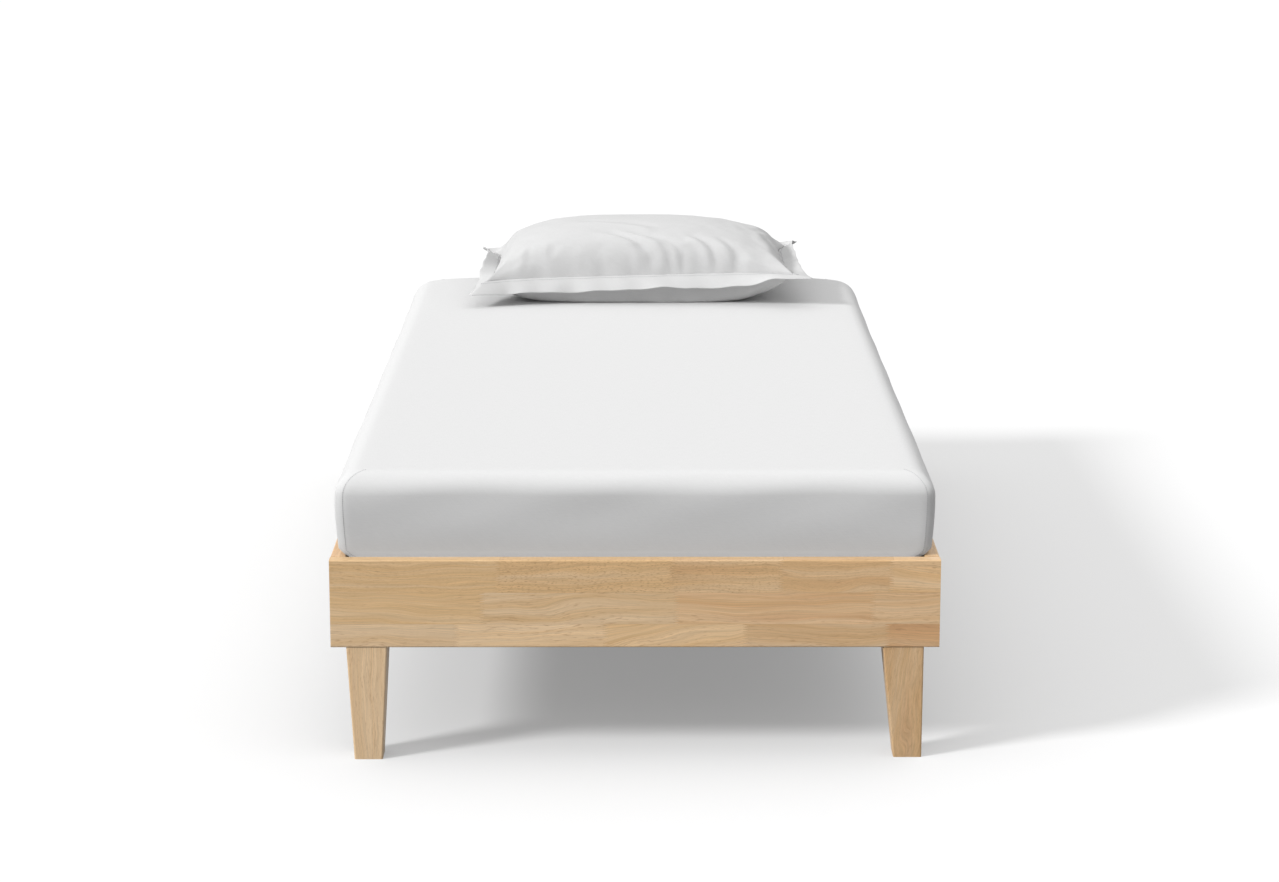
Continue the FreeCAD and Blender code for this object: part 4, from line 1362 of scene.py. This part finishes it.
    def build_sheet(self, finishes: "Finishes", setter: Setter) -> None:
        """Make the fitted sheet, turned under the mattress all round, with a sewn seam at each corner.

        Args:
            finishes: The bed's materials.
            setter: What sews.
        """
        hem_width = 0.060
        under = [
            (Ring(self.half_width - reach, self.half_length - reach, self.base), -reach)
            for reach in np.linspace(hem_width, 0.012, 7)
        ]
        loops = under + self.rings(0.0)
        piece = self.shell("fitted_sheet_cloth", loops, -self.towards_foot, closed=False)
        self.give_life(piece)
        lines = self.corner_lines(piece, len(loops))
        seams = setter.stitches("corner_seams", lines, 0.0035, 0.0006, finishes.thread)
        seat(seams, "mattress")
        solid = piece.modifiers.new("cloth_thickness", "SOLIDIFY")
        solid.thickness, solid.offset = 0.0008, -1.0
        apply_modifiers(piece)
        seat(piece, "mattress", ["fitted_sheet"], finishes.sheet)


@dataclass(frozen=True)
class Pose:
    """How the case's border lies at one point of the seam: a share of the way round, a tilt and a lift."""

    place: float
    tilt: float
    lift: float


@dataclass(frozen=True)
class Crease:
    """A fold in the pillow's case: where it starts and ends, how it bows, how wide and how high it is."""

    start: tuple[float, float]
    end: tuple[float, float]
    bow: float
    width: float
    height: float


@dataclass
class Pillow:
    """The pillow: a filled envelope in a case whose four edges carry a flat sewn border."""

    cut_width: float = 0.690
    cut_depth: float = 0.470
    width: float = 0.640
    depth: float = 0.385
    rise: float = 0.099
    drop: float = 0.056
    border: float = 0.037
    border_rows: int = 8
    cell: float = 0.010
    frames: int = 36
    volume: float = 0.021
    pressure: float = 5.0
    broad_rounds: int = 24
    keep_wrinkles: float = 0.32
    poses: tuple[Pose, ...] = (
        Pose(0.000, -38.0, -0.002), Pose(0.030, -42.0, 0.000), Pose(0.120, -40.0, 0.000),
        Pose(0.230, -38.0, 0.000), Pose(0.258, -24.0, 0.002), Pose(0.272, -6.0, 0.002),
        Pose(0.297, -14.0, 0.000), Pose(0.330, 0.0, 0.000), Pose(0.390, 24.0, 0.000),
        Pose(0.450, 32.0, 0.000), Pose(0.500, 16.0, 0.000), Pose(0.560, 2.0, 0.000),
        Pose(0.740, 2.0, 0.000), Pose(0.797, 20.0, 0.000), Pose(0.840, 38.0, 0.000),
        Pose(0.900, 34.0, 0.000), Pose(0.950, 4.0, 0.000), Pose(1.000, -38.0, -0.002),
    )

    creases: tuple["Crease", ...] = (
        Crease((-0.110, -0.104), (0.048, -0.190), 0.010, 0.0075, 0.0034),
        Crease((-0.058, -0.100), (0.092, -0.190), 0.010, 0.0068, 0.0036),
        Crease((-0.004, -0.118), (0.118, -0.190), 0.008, 0.0062, 0.0030),
        Crease((0.082, -0.116), (0.168, -0.188), 0.008, 0.0068, 0.0034),
        Crease((0.140, -0.122), (0.212, -0.186), 0.006, 0.0080, 0.0026),
        Crease((-0.150, -0.050), (0.020, -0.096), 0.010, 0.0120, 0.0026),
        Crease((-0.236, -0.120), (-0.258, -0.188), 0.004, 0.0085, 0.0013),
        Crease((-0.192, -0.120), (-0.206, -0.188), 0.004, 0.0090, 0.0010),
        Crease((0.262, -0.020), (0.310, -0.090), 0.004, 0.0080, 0.0026),
        Crease((-0.290, 0.010), (-0.312, -0.080), -0.004, 0.0080, 0.0024),
    )

    @property
    def cells(self) -> tuple[int, int]:
        """How many cells the envelope has across and along."""
        return round(self.cut_width / self.cell), round(self.cut_depth / self.cell)

    def envelope(self) -> tuple[np.ndarray, list[tuple[int, ...]], list[int]]:
        """Cut the envelope flat: two layers that share the seam round their edge.

        Returns:
            The points, the faces, and the seam's points from the foot-left corner, counter-clockwise.
        """
        across, along = self.cells
        xs = np.linspace(-self.cut_width / 2, self.cut_width / 2, across + 1)
        ys = np.linspace(-self.cut_depth / 2, self.cut_depth / 2, along + 1)
        upper = np.arange((across + 1) * (along + 1)).reshape(along + 1, across + 1)
        lower = upper.copy()
        lower[1:-1, 1:-1] = upper.size + np.arange((across - 1) * (along - 1)).reshape(along - 1, across - 1)
        grid_x, grid_y = np.meshgrid(xs, ys)
        gap = np.zeros_like(grid_x)
        gap[1:-1, 1:-1] = 0.004
        top = np.stack([grid_x, grid_y, gap], axis=-1)
        bottom = np.stack([grid_x, grid_y, -gap], axis=-1)[1:-1, 1:-1]
        points = np.concatenate([top.reshape(-1, 3), bottom.reshape(-1, 3)])
        faces = []
        for j in range(along):
            for i in range(across):
                for layer, way in ((upper, 1), (lower, -1)):
                    corners = (layer[j, i], layer[j, i + 1], layer[j + 1, i + 1], layer[j + 1, i])
                    faces.append(tuple(int(corner) for corner in corners[::way]))
        seam = list(upper[0, :-1]) + list(upper[:-1, -1]) + list(upper[-1, :0:-1]) + list(upper[:0:-1, 0])
        return points, faces, [int(place) for place in seam]

    def fill(self, points: np.ndarray, faces: Faces) -> np.ndarray:
        """Fill the envelope by a cloth simulation, free of gravity, until it holds its volume.

        Args:
            points: The flat envelope's points.
            faces: Its faces.

        Returns:
            The filled envelope's points.
        """
        piece = new_piece("pillow_envelope", points, faces)
        cloth = piece.modifiers.new("filling", "CLOTH")
        cloth.point_cache.frame_start, cloth.point_cache.frame_end = 1, self.frames
        cloth.collision_settings.use_collision = False
        settings = cloth.settings
        settings.quality = 8
        settings.mass = 0.001
        settings.tension_stiffness = settings.compression_stiffness = 40.0
        settings.shear_stiffness = 8.0
        settings.bending_stiffness = 0.05
        settings.tension_damping = settings.compression_damping = settings.shear_damping = 8.0
        settings.bending_damping = 0.5
        settings.air_damping = 6.0
        settings.use_pressure = True
        settings.use_pressure_volume = True
        settings.target_volume = self.volume
        settings.uniform_pressure_force = 0.0
        settings.pressure_factor = self.pressure
        settings.effector_weights.gravity = 0.0
        scene = bpy.context.scene
        for frame in range(1, self.frames + 1):
            scene.frame_set(frame)
        apply_modifiers(piece)
        filled = points_of(piece)
        bpy.data.objects.remove(piece)
        scene.frame_set(1)
        return filled

    def settle(self, filled: np.ndarray, seam: Sequence[int], middle: Vector, floor: float) -> np.ndarray:
        """Bring the filled envelope to its size, lay it on the bed and keep part of its simulated wrinkles.

        Args:
            filled: The filled envelope's points.
            seam: The seam's points in their order; not used.
            middle: Where the pillow's middle lies, seen from above.
            floor: The height of what it lies on.

        Returns:
            The body's points in their place.
        """
        fine = [self.wrinkles(filled[:, axis]) for axis in range(3)]
        u, v = self.grid_places()
        across, along = np.abs(u), np.abs(v)
        pull = across**5 * (0.115 * (1 - along**4) + 0.04 * along**4)
        x = self.width / 2 * 1.04 * u * (1 - pull) + fine[0]
        y = self.depth / 2 * v * (1 - 0.20 * along**5 * (1 - across**4)) + fine[1]
        x += 0.0012 * across**8 * np.sin(v * 23.0 + u) * np.sign(u)
        y += 0.0012 * along**8 * np.sin(u * 31.0 + v) * np.sign(v)
        z = fine[2]
        upper = (1 - across**3.0) ** 0.65 * (1 - along**2.5) ** 0.62
        lower = (1 - across**1.8) ** 0.70 * (1 - along**6.0) ** 0.50
        is_upper = np.arange(len(filled)) < (self.cells[0] + 1) * (self.cells[1] + 1)
        calm = 0.35 + 0.65 * np.clip(np.maximum(across, along) ** 2, 0, 1)
        dome = np.where(is_upper, self.rise * upper, -1.6 * self.drop * lower)
        z = dome + z * calm
        edge = np.maximum(across, along) ** 3
        z += edge * (0.008 * x / (self.width / 2) - 0.001 * y / (self.depth / 2)) + self.drop
        x = x - 0.010 * np.clip(dome, 0, None) / self.rise * (1 - across**2)
        soft = 0.008
        z = np.where(z < soft, soft * np.exp((z - soft) / soft), z)
        z = np.where(z < 0.0022, 0.0, z)
        return np.stack([x + middle.x, y + middle.y, z + floor], axis=1)

    def grid_places(self) -> tuple[np.ndarray, np.ndarray]:
        """Find where each of the envelope's points was cut.

        Returns:
            The places across and along, from -1 to 1, with 0 in the middle.
        """
        across, along = self.cells
        u = np.tile(np.linspace(-1, 1, across + 1), (along + 1, 1))
        v = np.tile(np.linspace(-1, 1, along + 1)[:, None], (1, across + 1))
        return tuple(np.concatenate([way.reshape(-1), way[1:-1, 1:-1].reshape(-1)]) for way in (u, v))

    def wrinkles(self, heights: np.ndarray) -> np.ndarray:
        """Keep only the wrinkles of the simulated skin, without its broad shape, and none at the seam.

        Args:
            heights: One coordinate of each point.

        Returns:
            How far each point stands off the broad shape.
        """
        across, along = self.cells
        upper = heights[: (across + 1) * (along + 1)].reshape(along + 1, across + 1)
        lower = upper.copy()
        lower[1:-1, 1:-1] = heights[(across + 1) * (along + 1):].reshape(along - 1, across - 1)
        result = heights.copy()
        for layer, is_top in ((upper, True), (lower, False)):
            broad = layer.copy()
            for _ in range(self.broad_rounds):
                around = broad[:-2, 1:-1] + broad[2:, 1:-1] + broad[1:-1, :-2] + broad[1:-1, 2:]
                broad[1:-1, 1:-1] = (broad[1:-1, 1:-1] * 4 + around) / 8
            fine = (layer - broad) * self.keep_wrinkles
            if is_top:
                result[: fine.size] = fine.reshape(-1)
            else:
                result[upper.size:] = fine[1:-1, 1:-1].reshape(-1)
        return result

    def fold(self, points: np.ndarray, middle: Vector, seam_height: float) -> np.ndarray:
        """Pull slanting folds into the upper face, where the case is a little too wide for the pillow.

        Args:
            points: The body's points, already made finer.
            middle: Where the pillow's middle lies, seen from above.
            seam_height: The height of the seam.

        Returns:
            The points with the folds in them.
        """
        x, y = points[:, 0] - middle.x, points[:, 1] - middle.y
        over = np.clip((points[:, 2] - seam_height - 0.004) / 0.02, 0, 1)
        total = np.zeros_like(x)
        for crease in self.creases:
            run = np.array([crease.end[0] - crease.start[0], crease.end[1] - crease.start[1]])
            length = math.hypot(*run)
            run /= length
            share = ((x - crease.start[0]) * run[0] + (y - crease.start[1]) * run[1]) / length
            off = (y - crease.start[1]) * run[0] - (x - crease.start[0]) * run[1]
            off = (off - crease.bow * np.sin(np.clip(share, 0, 1) * math.pi)) / crease.width
            fade = np.clip(share / 0.35, 0, 1) * np.clip((1.12 - share) / 0.2, 0, 1)
            fade = fade * fade * (3 - 2 * fade)
            total += crease.height * fade * (np.exp(-(off**2)) - 0.8 * np.exp(-((off - 1.6) ** 2)))
        folded = points.copy()
        folded[:, 2] += total * over
        folded[:, 1] -= 0.6 * total * over
        return folded

    def around(self, body: np.ndarray, seam: Sequence[int]) -> tuple[np.ndarray, np.ndarray, np.ndarray]:
        """Walk round the seam.

        Args:
            body: The body's points.
            seam: The seam's points in their order.

        Returns:
            The seam's places, the way out of the body at each, longer at the corners, and the share of
            the way round, counted so that each side takes a steady part of it.
        """
        across, along = self.cells
        loop = body[seam]
        outs, shares = [], []
        sides = (
            (across, (0, -1), (1, 0), 1.0, 1.0), (along, (1, 0), (0, 1), 1.0, 0.25),
            (across, (0, 1), (-1, 0), 0.25, 0.25), (along, (-1, 0), (0, -1), 0.25, 1.0),
        )
        total = 2 * (across + along)
        passed = 0
        spread = 0.045 / self.cell
        for count, out, way, at_start, at_end in sides:
            for step in range(count):
                to_start = max(0.0, 1 - step / spread)
                to_end = max(0.0, 1 - (count - step) / spread)
                push = at_end * to_end**1.5 - at_start * to_start**1.5
                short = 1 - 0.5 * (to_start * (at_start < 1) + to_end * (at_end < 1))
                outs.append(((out[0] + way[0] * push) * short, (out[1] + way[1] * push) * short, 0.0))
                shares.append((passed + step) / total)
            passed += count
        return loop, np.array(outs), np.array(shares)

    def hem(self, body: np.ndarray, seam: Sequence[int]) -> tuple[np.ndarray, list[tuple[int, ...]]]:
        """Lay the border out from the seam, tilting and rippling as it goes round.

        Args:
            body: The body's points.
            seam: The seam's points in their order.

        Returns:
            The points and faces of the border's middle surface.
        """
        loop, outs, shares = self.around(body, seam)
        places = [pose.place for pose in self.poses]
        tilts = np.radians(np.interp(shares, places, [pose.tilt for pose in self.poses]))
        lifts = np.interp(shares, places, [pose.lift for pose in self.poses])
        kernel = np.array([1, 2, 3, 2, 1]) / 9

        def eased(values: np.ndarray) -> np.ndarray:
            """Smooth values that go round a loop."""
            ring = np.concatenate([values[-2:], values, values[:2]])
            return np.convolve(ring, kernel, mode="valid")

        tilts, lifts = eased(tilts), eased(lifts)
        turns = shares * math.tau
        ripple = 0.10 * np.sin(turns * 7 + 0.6) + 0.07 * np.sin(turns * 17 + 2.0) + 0.05 * np.sin(turns * 31)
        steps = np.linspace(-0.04, 1.0, self.border_rows)
        rows = []
        for step in steps:
            tilt = tilts * (0.75 + 0.35 * step) + ripple * max(step, 0.0) * 0.8
            reach = self.border * step
            row = loop.copy()
            row[:, :2] += outs[:, :2] * (reach * np.cos(tilt))[:, None]
            row[:, 2] += reach * np.sin(tilt) + lifts * max(step, 0.0)
            rows.append(row)
        count = len(loop)
        faces = []
        for level in range(len(steps) - 1):
            for place in range(count):
                after = (place + 1) % count
                low, high = level * count, (level + 1) * count
                faces.append((low + place, high + place, high + after, low + after))
        return np.concatenate(rows), faces

    def build(self, finishes: "Finishes", setter: Setter) -> None:
        """Make the pillow and its case.

        Args:
            finishes: The bed's materials.
            setter: What sews.
        """
        low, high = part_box("pillowcase")
        points, faces, seam = self.envelope()
        middle = (low + high) / 2
        body = self.settle(self.fill(points, faces), seam, middle, low.z)
        case = self.case(body, faces, seam, middle, finishes)
        seat(case, "pillow", ["pillowcase"])
        line = self.stitch_line(body, seam)
        sewn = setter.stitches("border_stitches", [line], 0.0040, 0.0007, finishes.thread)
        seat(sewn, "pillow")
        inner = new_piece("pillow", self.shrink(body), faces)
        seat(inner, "pillow", ["pillow_filling"], finishes.ticking)

    def shrink(self, body: np.ndarray) -> np.ndarray:
        """Draw the pillow itself, a finger's breadth inside its case.

        Args:
            body: The case's points.

        Returns:
            The pillow's points.
        """
        middle = (body.max(axis=0) + body.min(axis=0)) / 2
        return middle + (body - middle) * (0.95, 0.93, 0.88)

    def stitch_line(self, body: np.ndarray, seam: Sequence[int]) -> np.ndarray:
        """Follow the seam between the body and the border, on the border's upper side.

        Args:
            body: The body's points.
            seam: The seam's points in their order.

        Returns:
            The closed line's points.
        """
        points, _ = self.hem(body, seam)
        rows = points.reshape(self.border_rows, len(seam), 3)
        line = rows[1] * 0.60 + rows[2] * 0.40
        line[:, 2] += 0.0012
        return np.concatenate([line, line[:1]])

    def case(
        self, body: np.ndarray, faces: Faces, seam: Sequence[int], middle: Vector,
        finishes: "Finishes",
    ) -> Piece:
        """Sew the case: the body's closed skin and the border round it.

        Args:
            body: The body's points.
            faces: The body's faces.
            seam: The seam's points in their order.
            middle: Where the pillow's middle lies, seen from above.
            finishes: The bed's materials.

        Returns:
            The case as one piece.
        """
        skin = new_piece("pillowcase_cloth", body, faces)
        border = new_piece("pillowcase_border", *self.hem(body, seam))
        thick = border.modifiers.new("two_layers", "SOLIDIFY")
        thick.thickness = 0.0018
        thick.offset = 0.0
        for piece in (skin, border):
            finer = piece.modifiers.new("finer", "SUBSURF")
            finer.levels = finer.render_levels = 1
            apply_modifiers(piece)
        move_points(skin, self.fold(points_of(skin), middle, float(body[seam][:, 2].mean())))
        joined = join_pieces(skin, border)
        dress(joined, finishes.case)
        return joined


@dataclass(frozen=True)
class Finishes:
    """The materials of the whole bed."""

    sheet: Finish
    case: Finish
    ticking: Finish
    thread: Finish

    @staticmethod
    def mix(effects: Effects) -> "Finishes":
        """Mix the cloth finishes.

        Args:
            effects: The shared shader groups.

        Returns:
            The finishes.
        """
        return Finishes(
            sheet=Cotton("sheet_cotton").material(effects),
            case=Cotton("case_cotton", colour=(0.63, 0.63, 0.63)).material(effects),
            ticking=Cotton("ticking", colour=(0.68, 0.66, 0.62), thread=0.0012).material(effects),
            thread=Cotton("sewing_thread", colour=(0.38, 0.38, 0.39), thread=0.0003).material(effects),
        )


@dataclass
class Woodwork:
    """The rails, legs, blocks, ledges and slats, which keep the shapes of the frame."""

    leg_looks: dict[str, tuple[float, float, float]] = field(default_factory=lambda: {
        "foot_left": (0.75, 0.06, 0.03), "foot_right": (0.20, 0.22, -0.12),
        "head_right": (0.45, 0.10, 0.02), "head_left": (0.35, 0.16, -0.03),
    })

    def build(self, frame: dict, effects: Effects) -> None:
        """Give each wooden node its finish.

        Args:
            frame: The frame.
            effects: The shared shader groups.
        """
        nodes = frame["nodes"]
        foot = Timber("foot_rail_wood", Run.ACROSS_BED, Jointing.KNOWN_STAVES)
        dress(nodes["foot_rail"], foot.material(effects))
        head = Timber("head_rail_wood", Run.ACROSS_BED, Jointing.RULED_STAVES, seed=3.0)
        dress(nodes["head_rail"], head.material(effects))
        for side, name in enumerate(("left_side_rail", "right_side_rail")):
            rail = Timber(f"{name}_wood", Run.ALONG_BED, Jointing.RULED_STAVES, seed=5.0 + side)
            dress(nodes[name], rail.material(effects))
        for side, name in enumerate(("left_slat_ledge", "right_slat_ledge")):
            ledge = Timber(f"{name}_wood", Run.ALONG_BED, Jointing.SOLID, seed=8.0 + side)
            dress(nodes[name], ledge.material(effects))
        for number, corner in enumerate(("foot_left", "foot_right", "head_right", "head_left")):
            pale, red, slant = self.leg_looks[corner]
            leg = Timber(
                f"leg_{corner}_wood", Run.UPRIGHT, Jointing.SOLID, seed=11.0 + number, pale_share=pale,
                red_share=red, slant=slant,
            )
            dress(nodes[f"leg_{corner}"], leg.material(effects))
            block = Timber(f"block_{corner}_wood", Run.UPRIGHT, Jointing.SOLID, seed=21.0 + number)
            dress(nodes[f"corner_block_{corner}"], block.material(effects))
        slat = Timber("slat_wood", Run.ACROSS_BED, Jointing.SOLID, pale_share=0.8, red_share=0.0)
        slat_material = slat.material(effects)
        for name, node in nodes.items():
            if name.startswith("slat_") and "strap" not in name:
                dress(node, slat_material)
        dowel = Timber("dowel_wood", Run.ALONG_BED, Jointing.SOLID, seed=31.0)
        dress(nodes["corner_dowels"], dowel.material(effects))


@dataclass
class Hardware:
    """Bolts, screws, inserts and staples."""

    bolt: Fastener = Fastener("bolt", Drive.HEXAGON, 0.012, 0.005, 0.006, 0.080, False)
    block_screw: Fastener = Fastener("block_screw", Drive.CROSS, 0.009, 0.0035, 0.005, 0.070, True)
    ledge_screw: Fastener = Fastener("ledge_screw", Drive.CROSS, 0.009, 0.0035, 0.0045, 0.044, True)

    def build(self, frame: dict, setter: Setter) -> None:
        """Set the fasteners whose heads are seen, and give the hidden metal its finish.

        Args:
            frame: The frame.
            setter: What sets copies on points.
        """
        nodes = frame["nodes"]
        zinc = Metal("zinc_plate", (0.66, 0.66, 0.67)).material()
        brass = Metal("yellow_zinc", (0.72, 0.62, 0.40)).material()
        staple = Metal("staple_wire", (0.60, 0.60, 0.62), roughness=0.26).material()
        kinds = (
            ("corner_bolts", self.bolt, 0), ("block_screws", self.block_screw, 1),
            ("ledge_screws", self.ledge_screw, 0),
        )
        for node, fastener, axis in kinds:
            places, ways = [], []
            solids = islands(nodes[node])
            for low, high in solids:
                middle = (low + high) / 2
                inner = min(abs(low[axis]), abs(high[axis]))
                side = math.copysign(1.0, middle[axis])
                seat_at = middle.copy()
                seat_at[axis] = side * (inner + fastener.head_height)
                way = Vector((0.0, 0.0, 0.0))
                way[axis] = -side
                places.append(tuple(seat_at))
                ways.append(tuple(way))
            low, high = solids[0]
            exact = replace(fastener, length=abs(high[axis] - low[axis]) - fastener.head_height)
            places, ways = np.array(places), np.array(ways)
            piece = setter.set(f"{node}_set", exact.template(), places, ways, zinc, math.pi)
            seat(piece, "frame", [node])
        dress(nodes["hanger_bolts"], zinc)
        dress(nodes["strap_staples"], staple)
        for name in ("leg_inserts", "rail_inserts"):
            dress(nodes[name], brass)


@dataclass
class Straps:
    """The two woven straps that hold the slats at their distance."""

    place: float = 0.370
    width: float = 0.030
    thickness: float = 0.0012
    sag: float = 0.0016
    pitch: float = 0.144

    def build(self, effects: Effects) -> None:
        """Lay both straps under the slats, slack by a hair between them.

        Args:
            effects: The shared shader groups.
        """
        cloth = Cotton(
            "strap_webbing", colour=(0.60, 0.58, 0.53), thread=0.0015, relief=0.00025, sheen=0.15
        ).material(effects)
        for side, name in ((-1, "slat_strap_left"), (1, "slat_strap_right")):
            low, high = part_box(name)
            ys = np.linspace(low.y, high.y, 261)
            between = 0.5 - 0.5 * np.cos(math.tau * (ys - self.pitch / 2) / self.pitch)
            slack = np.clip(between - 0.45, 0, 1) / 0.55
            heights = low.z + self.thickness / 2 - self.sag * slack**1.5
            middle = np.stack([np.full_like(ys, side * self.place), ys, heights], axis=1)
            across = np.tile((1.0, 0.0, 0.0), (len(ys), 1))
            piece = ribbon(f"{name}_webbing", middle, across, self.width, self.thickness)
            seat(piece, "slat_base", [name], cloth)


@dataclass
class Elastic:
    """The elastic in the fitted sheet's hem, gathered under the mattress."""

    width: float = 0.006
    thickness: float = 0.0009

    def build(self, effects: Effects) -> None:
        """Run the elastic round the hem's edge.

        Args:
            effects: The shared shader groups.
        """
        rubber = Cotton("elastic_braid", (0.74, 0.74, 0.72), thread=0.0009, relief=0.0002).material(effects)
        low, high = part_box("hem_elastic")
        middle, half = (low + high) / 2, (high - low) / 2
        turns = np.linspace(0, math.tau, 720, endpoint=False)
        reach_x, reach_y = half.x - self.width / 2, half.y - self.width / 2
        power = 0.12
        xs = reach_x * np.sign(np.cos(turns)) * np.abs(np.cos(turns)) ** power
        ys = reach_y * np.sign(np.sin(turns)) * np.abs(np.sin(turns)) ** power
        line = np.stack([middle.x + xs, middle.y + ys, np.full_like(xs, middle.z)], axis=1)
        closed = np.concatenate([line, line[:1]])
        line = walk(closed, np.linspace(0, distance_along(closed)[-1], 600, endpoint=False))
        way = np.roll(line, -1, axis=0) - np.roll(line, 1, axis=0)
        way /= np.linalg.norm(way, axis=1)[:, None]
        across = np.stack([way[:, 1], -way[:, 0], np.zeros(len(way))], axis=1)
        piece = ribbon("hem_elastic_braid", line, across, self.width, self.thickness, closed=True)
        seat(piece, "mattress", ["hem_elastic"], rubber)


@dataclass
class Studio:
    """The floor, the lamps and the camera."""

    camera_place: tuple[float, float, float] = (-0.0003, -5.9446, 1.6094)
    pitch: float = 12.515
    yaw: float = 0.085
    lens: float = 91.15
    sun_strength: float = 2.32
    sun_size: float = 12.0
    sun_way: tuple[float, float, float] = (0.755, 0.403, -0.515)

    def build(self) -> None:
        """Set up the stage."""
        scene = bpy.context.scene
        scene.view_settings.view_transform = "Standard"
        self.floor()
        self.lamp()
        self.sky()
        self.camera()

    @staticmethod
    def looked_at(graph: Graph) -> Socket:
        """Tell rays that look at a surface, also by way of a mirror or glass, from rays of light.

        Args:
            graph: The graph to build in.

        Returns:
            1 for a ray that looks, 0 for a ray of light.
        """
        rays = graph.node("ShaderNodeLightPath").outputs
        mirrored = graph.math("MAXIMUM", rays["Is Glossy Ray"], rays["Is Transmission Ray"])
        return graph.math("MAXIMUM", rays["Is Camera Ray"], mirrored)

    def camera(self) -> None:
        """Set the camera where the photograph was taken from."""
        scene = bpy.context.scene
        lens = bpy.data.cameras.new("camera")
        lens.lens = self.lens
        lens.sensor_width = 36.0
        camera = bpy.data.objects.new("camera", lens)
        camera.location = self.camera_place
        camera.rotation_euler = (math.radians(90 - self.pitch), 0.0, math.radians(-self.yaw))
        scene.collection.objects.link(camera)
        scene.camera = camera

    def floor(self) -> None:
        """Lay a white floor that keeps the bed's shadow."""
        reach = 60.0
        points = np.array([(-reach, -reach, 0), (reach, -reach, 0), (reach, reach, 0), (-reach, reach, 0)])
        floor = new_piece("floor", points, [(0, 1, 2, 3)], smooth=False)
        material, graph, shader = new_material("floor_paint")
        seen = self.looked_at(graph)
        graph.feed(shader.inputs["Base Color"], graph.mix(seen, (0.20, 0.20, 0.20), (0.66, 0.66, 0.66)))
        shader.inputs["Emission Color"].default_value = (1.0, 1.0, 1.0, 1.0)
        graph.feed(shader.inputs["Emission Strength"], graph.math("MULTIPLY", seen, 0.26))
        shader.inputs["Roughness"].default_value = 1.0
        shader.inputs["Specular IOR Level"].default_value = 0.0
        dress(floor, material)

    def lamp(self) -> None:
        """Hang the key light, low at the front left."""
        light = bpy.data.lights.new("key", "SUN")
        light.energy = self.sun_strength
        light.angle = math.radians(self.sun_size)
        lamp = bpy.data.objects.new("key", light)
        lamp.rotation_euler = Vector(self.sun_way).to_track_quat("-Z", "Y").to_euler()
        bpy.context.scene.collection.objects.link(lamp)

    def sky(self) -> None:
        """Light the scene softly from above, and show white behind it."""
        world = bpy.data.worlds.new("room")
        world.use_nodes = True
        bpy.context.scene.world = world
        graph = Graph(world.node_tree)
        background = next(node for node in world.node_tree.nodes if node.type == "BACKGROUND")
        up = graph.split(graph.node("ShaderNodeTexCoord").outputs["Generated"])[2]
        level = graph.remap(up, 0.0, 1.0, 0.15, 1.13)
        seen = self.looked_at(graph)
        background.inputs["Color"].default_value = (1.0, 1.0, 1.0, 1.0)
        graph.feed(background.inputs["Strength"], graph.math("MAXIMUM", level, seen))


def main() -> None:
    """Dress the frame and set the stage."""
    logging.basicConfig(level=logging.INFO, format="%(name)s: %(message)s")
    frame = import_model()
    effects = Effects(
        foot_staves=stave_group(
            "foot_rail_staves", (0.2231, 0.2743),
            (
                (
                    Stave(-1.0, 0.95, 0.05, 0.01), Stave(-0.282, 0.80, 0.05, -0.02),
                    Stave(-0.046, 0.35, 0.05, -0.14), Stave(0.1745, 0.45, 0.22, 0.02),
                    Stave(0.398, 0.05, 0.62, 0.09),
                ),
                (
                    Stave(-1.0, 0.15, 0.00, 0.03), Stave(-0.241, 0.60, 0.05, -0.05),
                    Stave(0.0655, 0.40, 0.30, 0.01), Stave(0.3736, 0.45, 0.28, -0.03),
                ),
                (
                    Stave(-1.0, 0.15, 0.02, 0.02, 0.35), Stave(-0.216, 0.12, 0.06, -0.04, 1.0),
                    Stave(0.057, 0.10, 0.12, 0.05, 0.9), Stave(0.2295, 0.05, 0.20, -0.02, 0.4),
                    Stave(0.402, 0.30, 0.15, 0.02, 0.2),
                ),
            ),
        ),
        long_staves=long_stave_group(),
        grain=grain_group(),
        weave=weave_group(),
    )
    finishes = Finishes.mix(effects)
    Woodwork().build(frame, effects)
    setter = Setter()
    Hardware().build(frame, setter)
    Straps().build(effects)
    mattress = Mattress()
    mattress.build(finishes)
    mattress.build_sheet(finishes, setter)
    Elastic().build(effects)
    Pillow().build(finishes, setter)
    Studio().build()


if __name__ == "__main__":
    main()
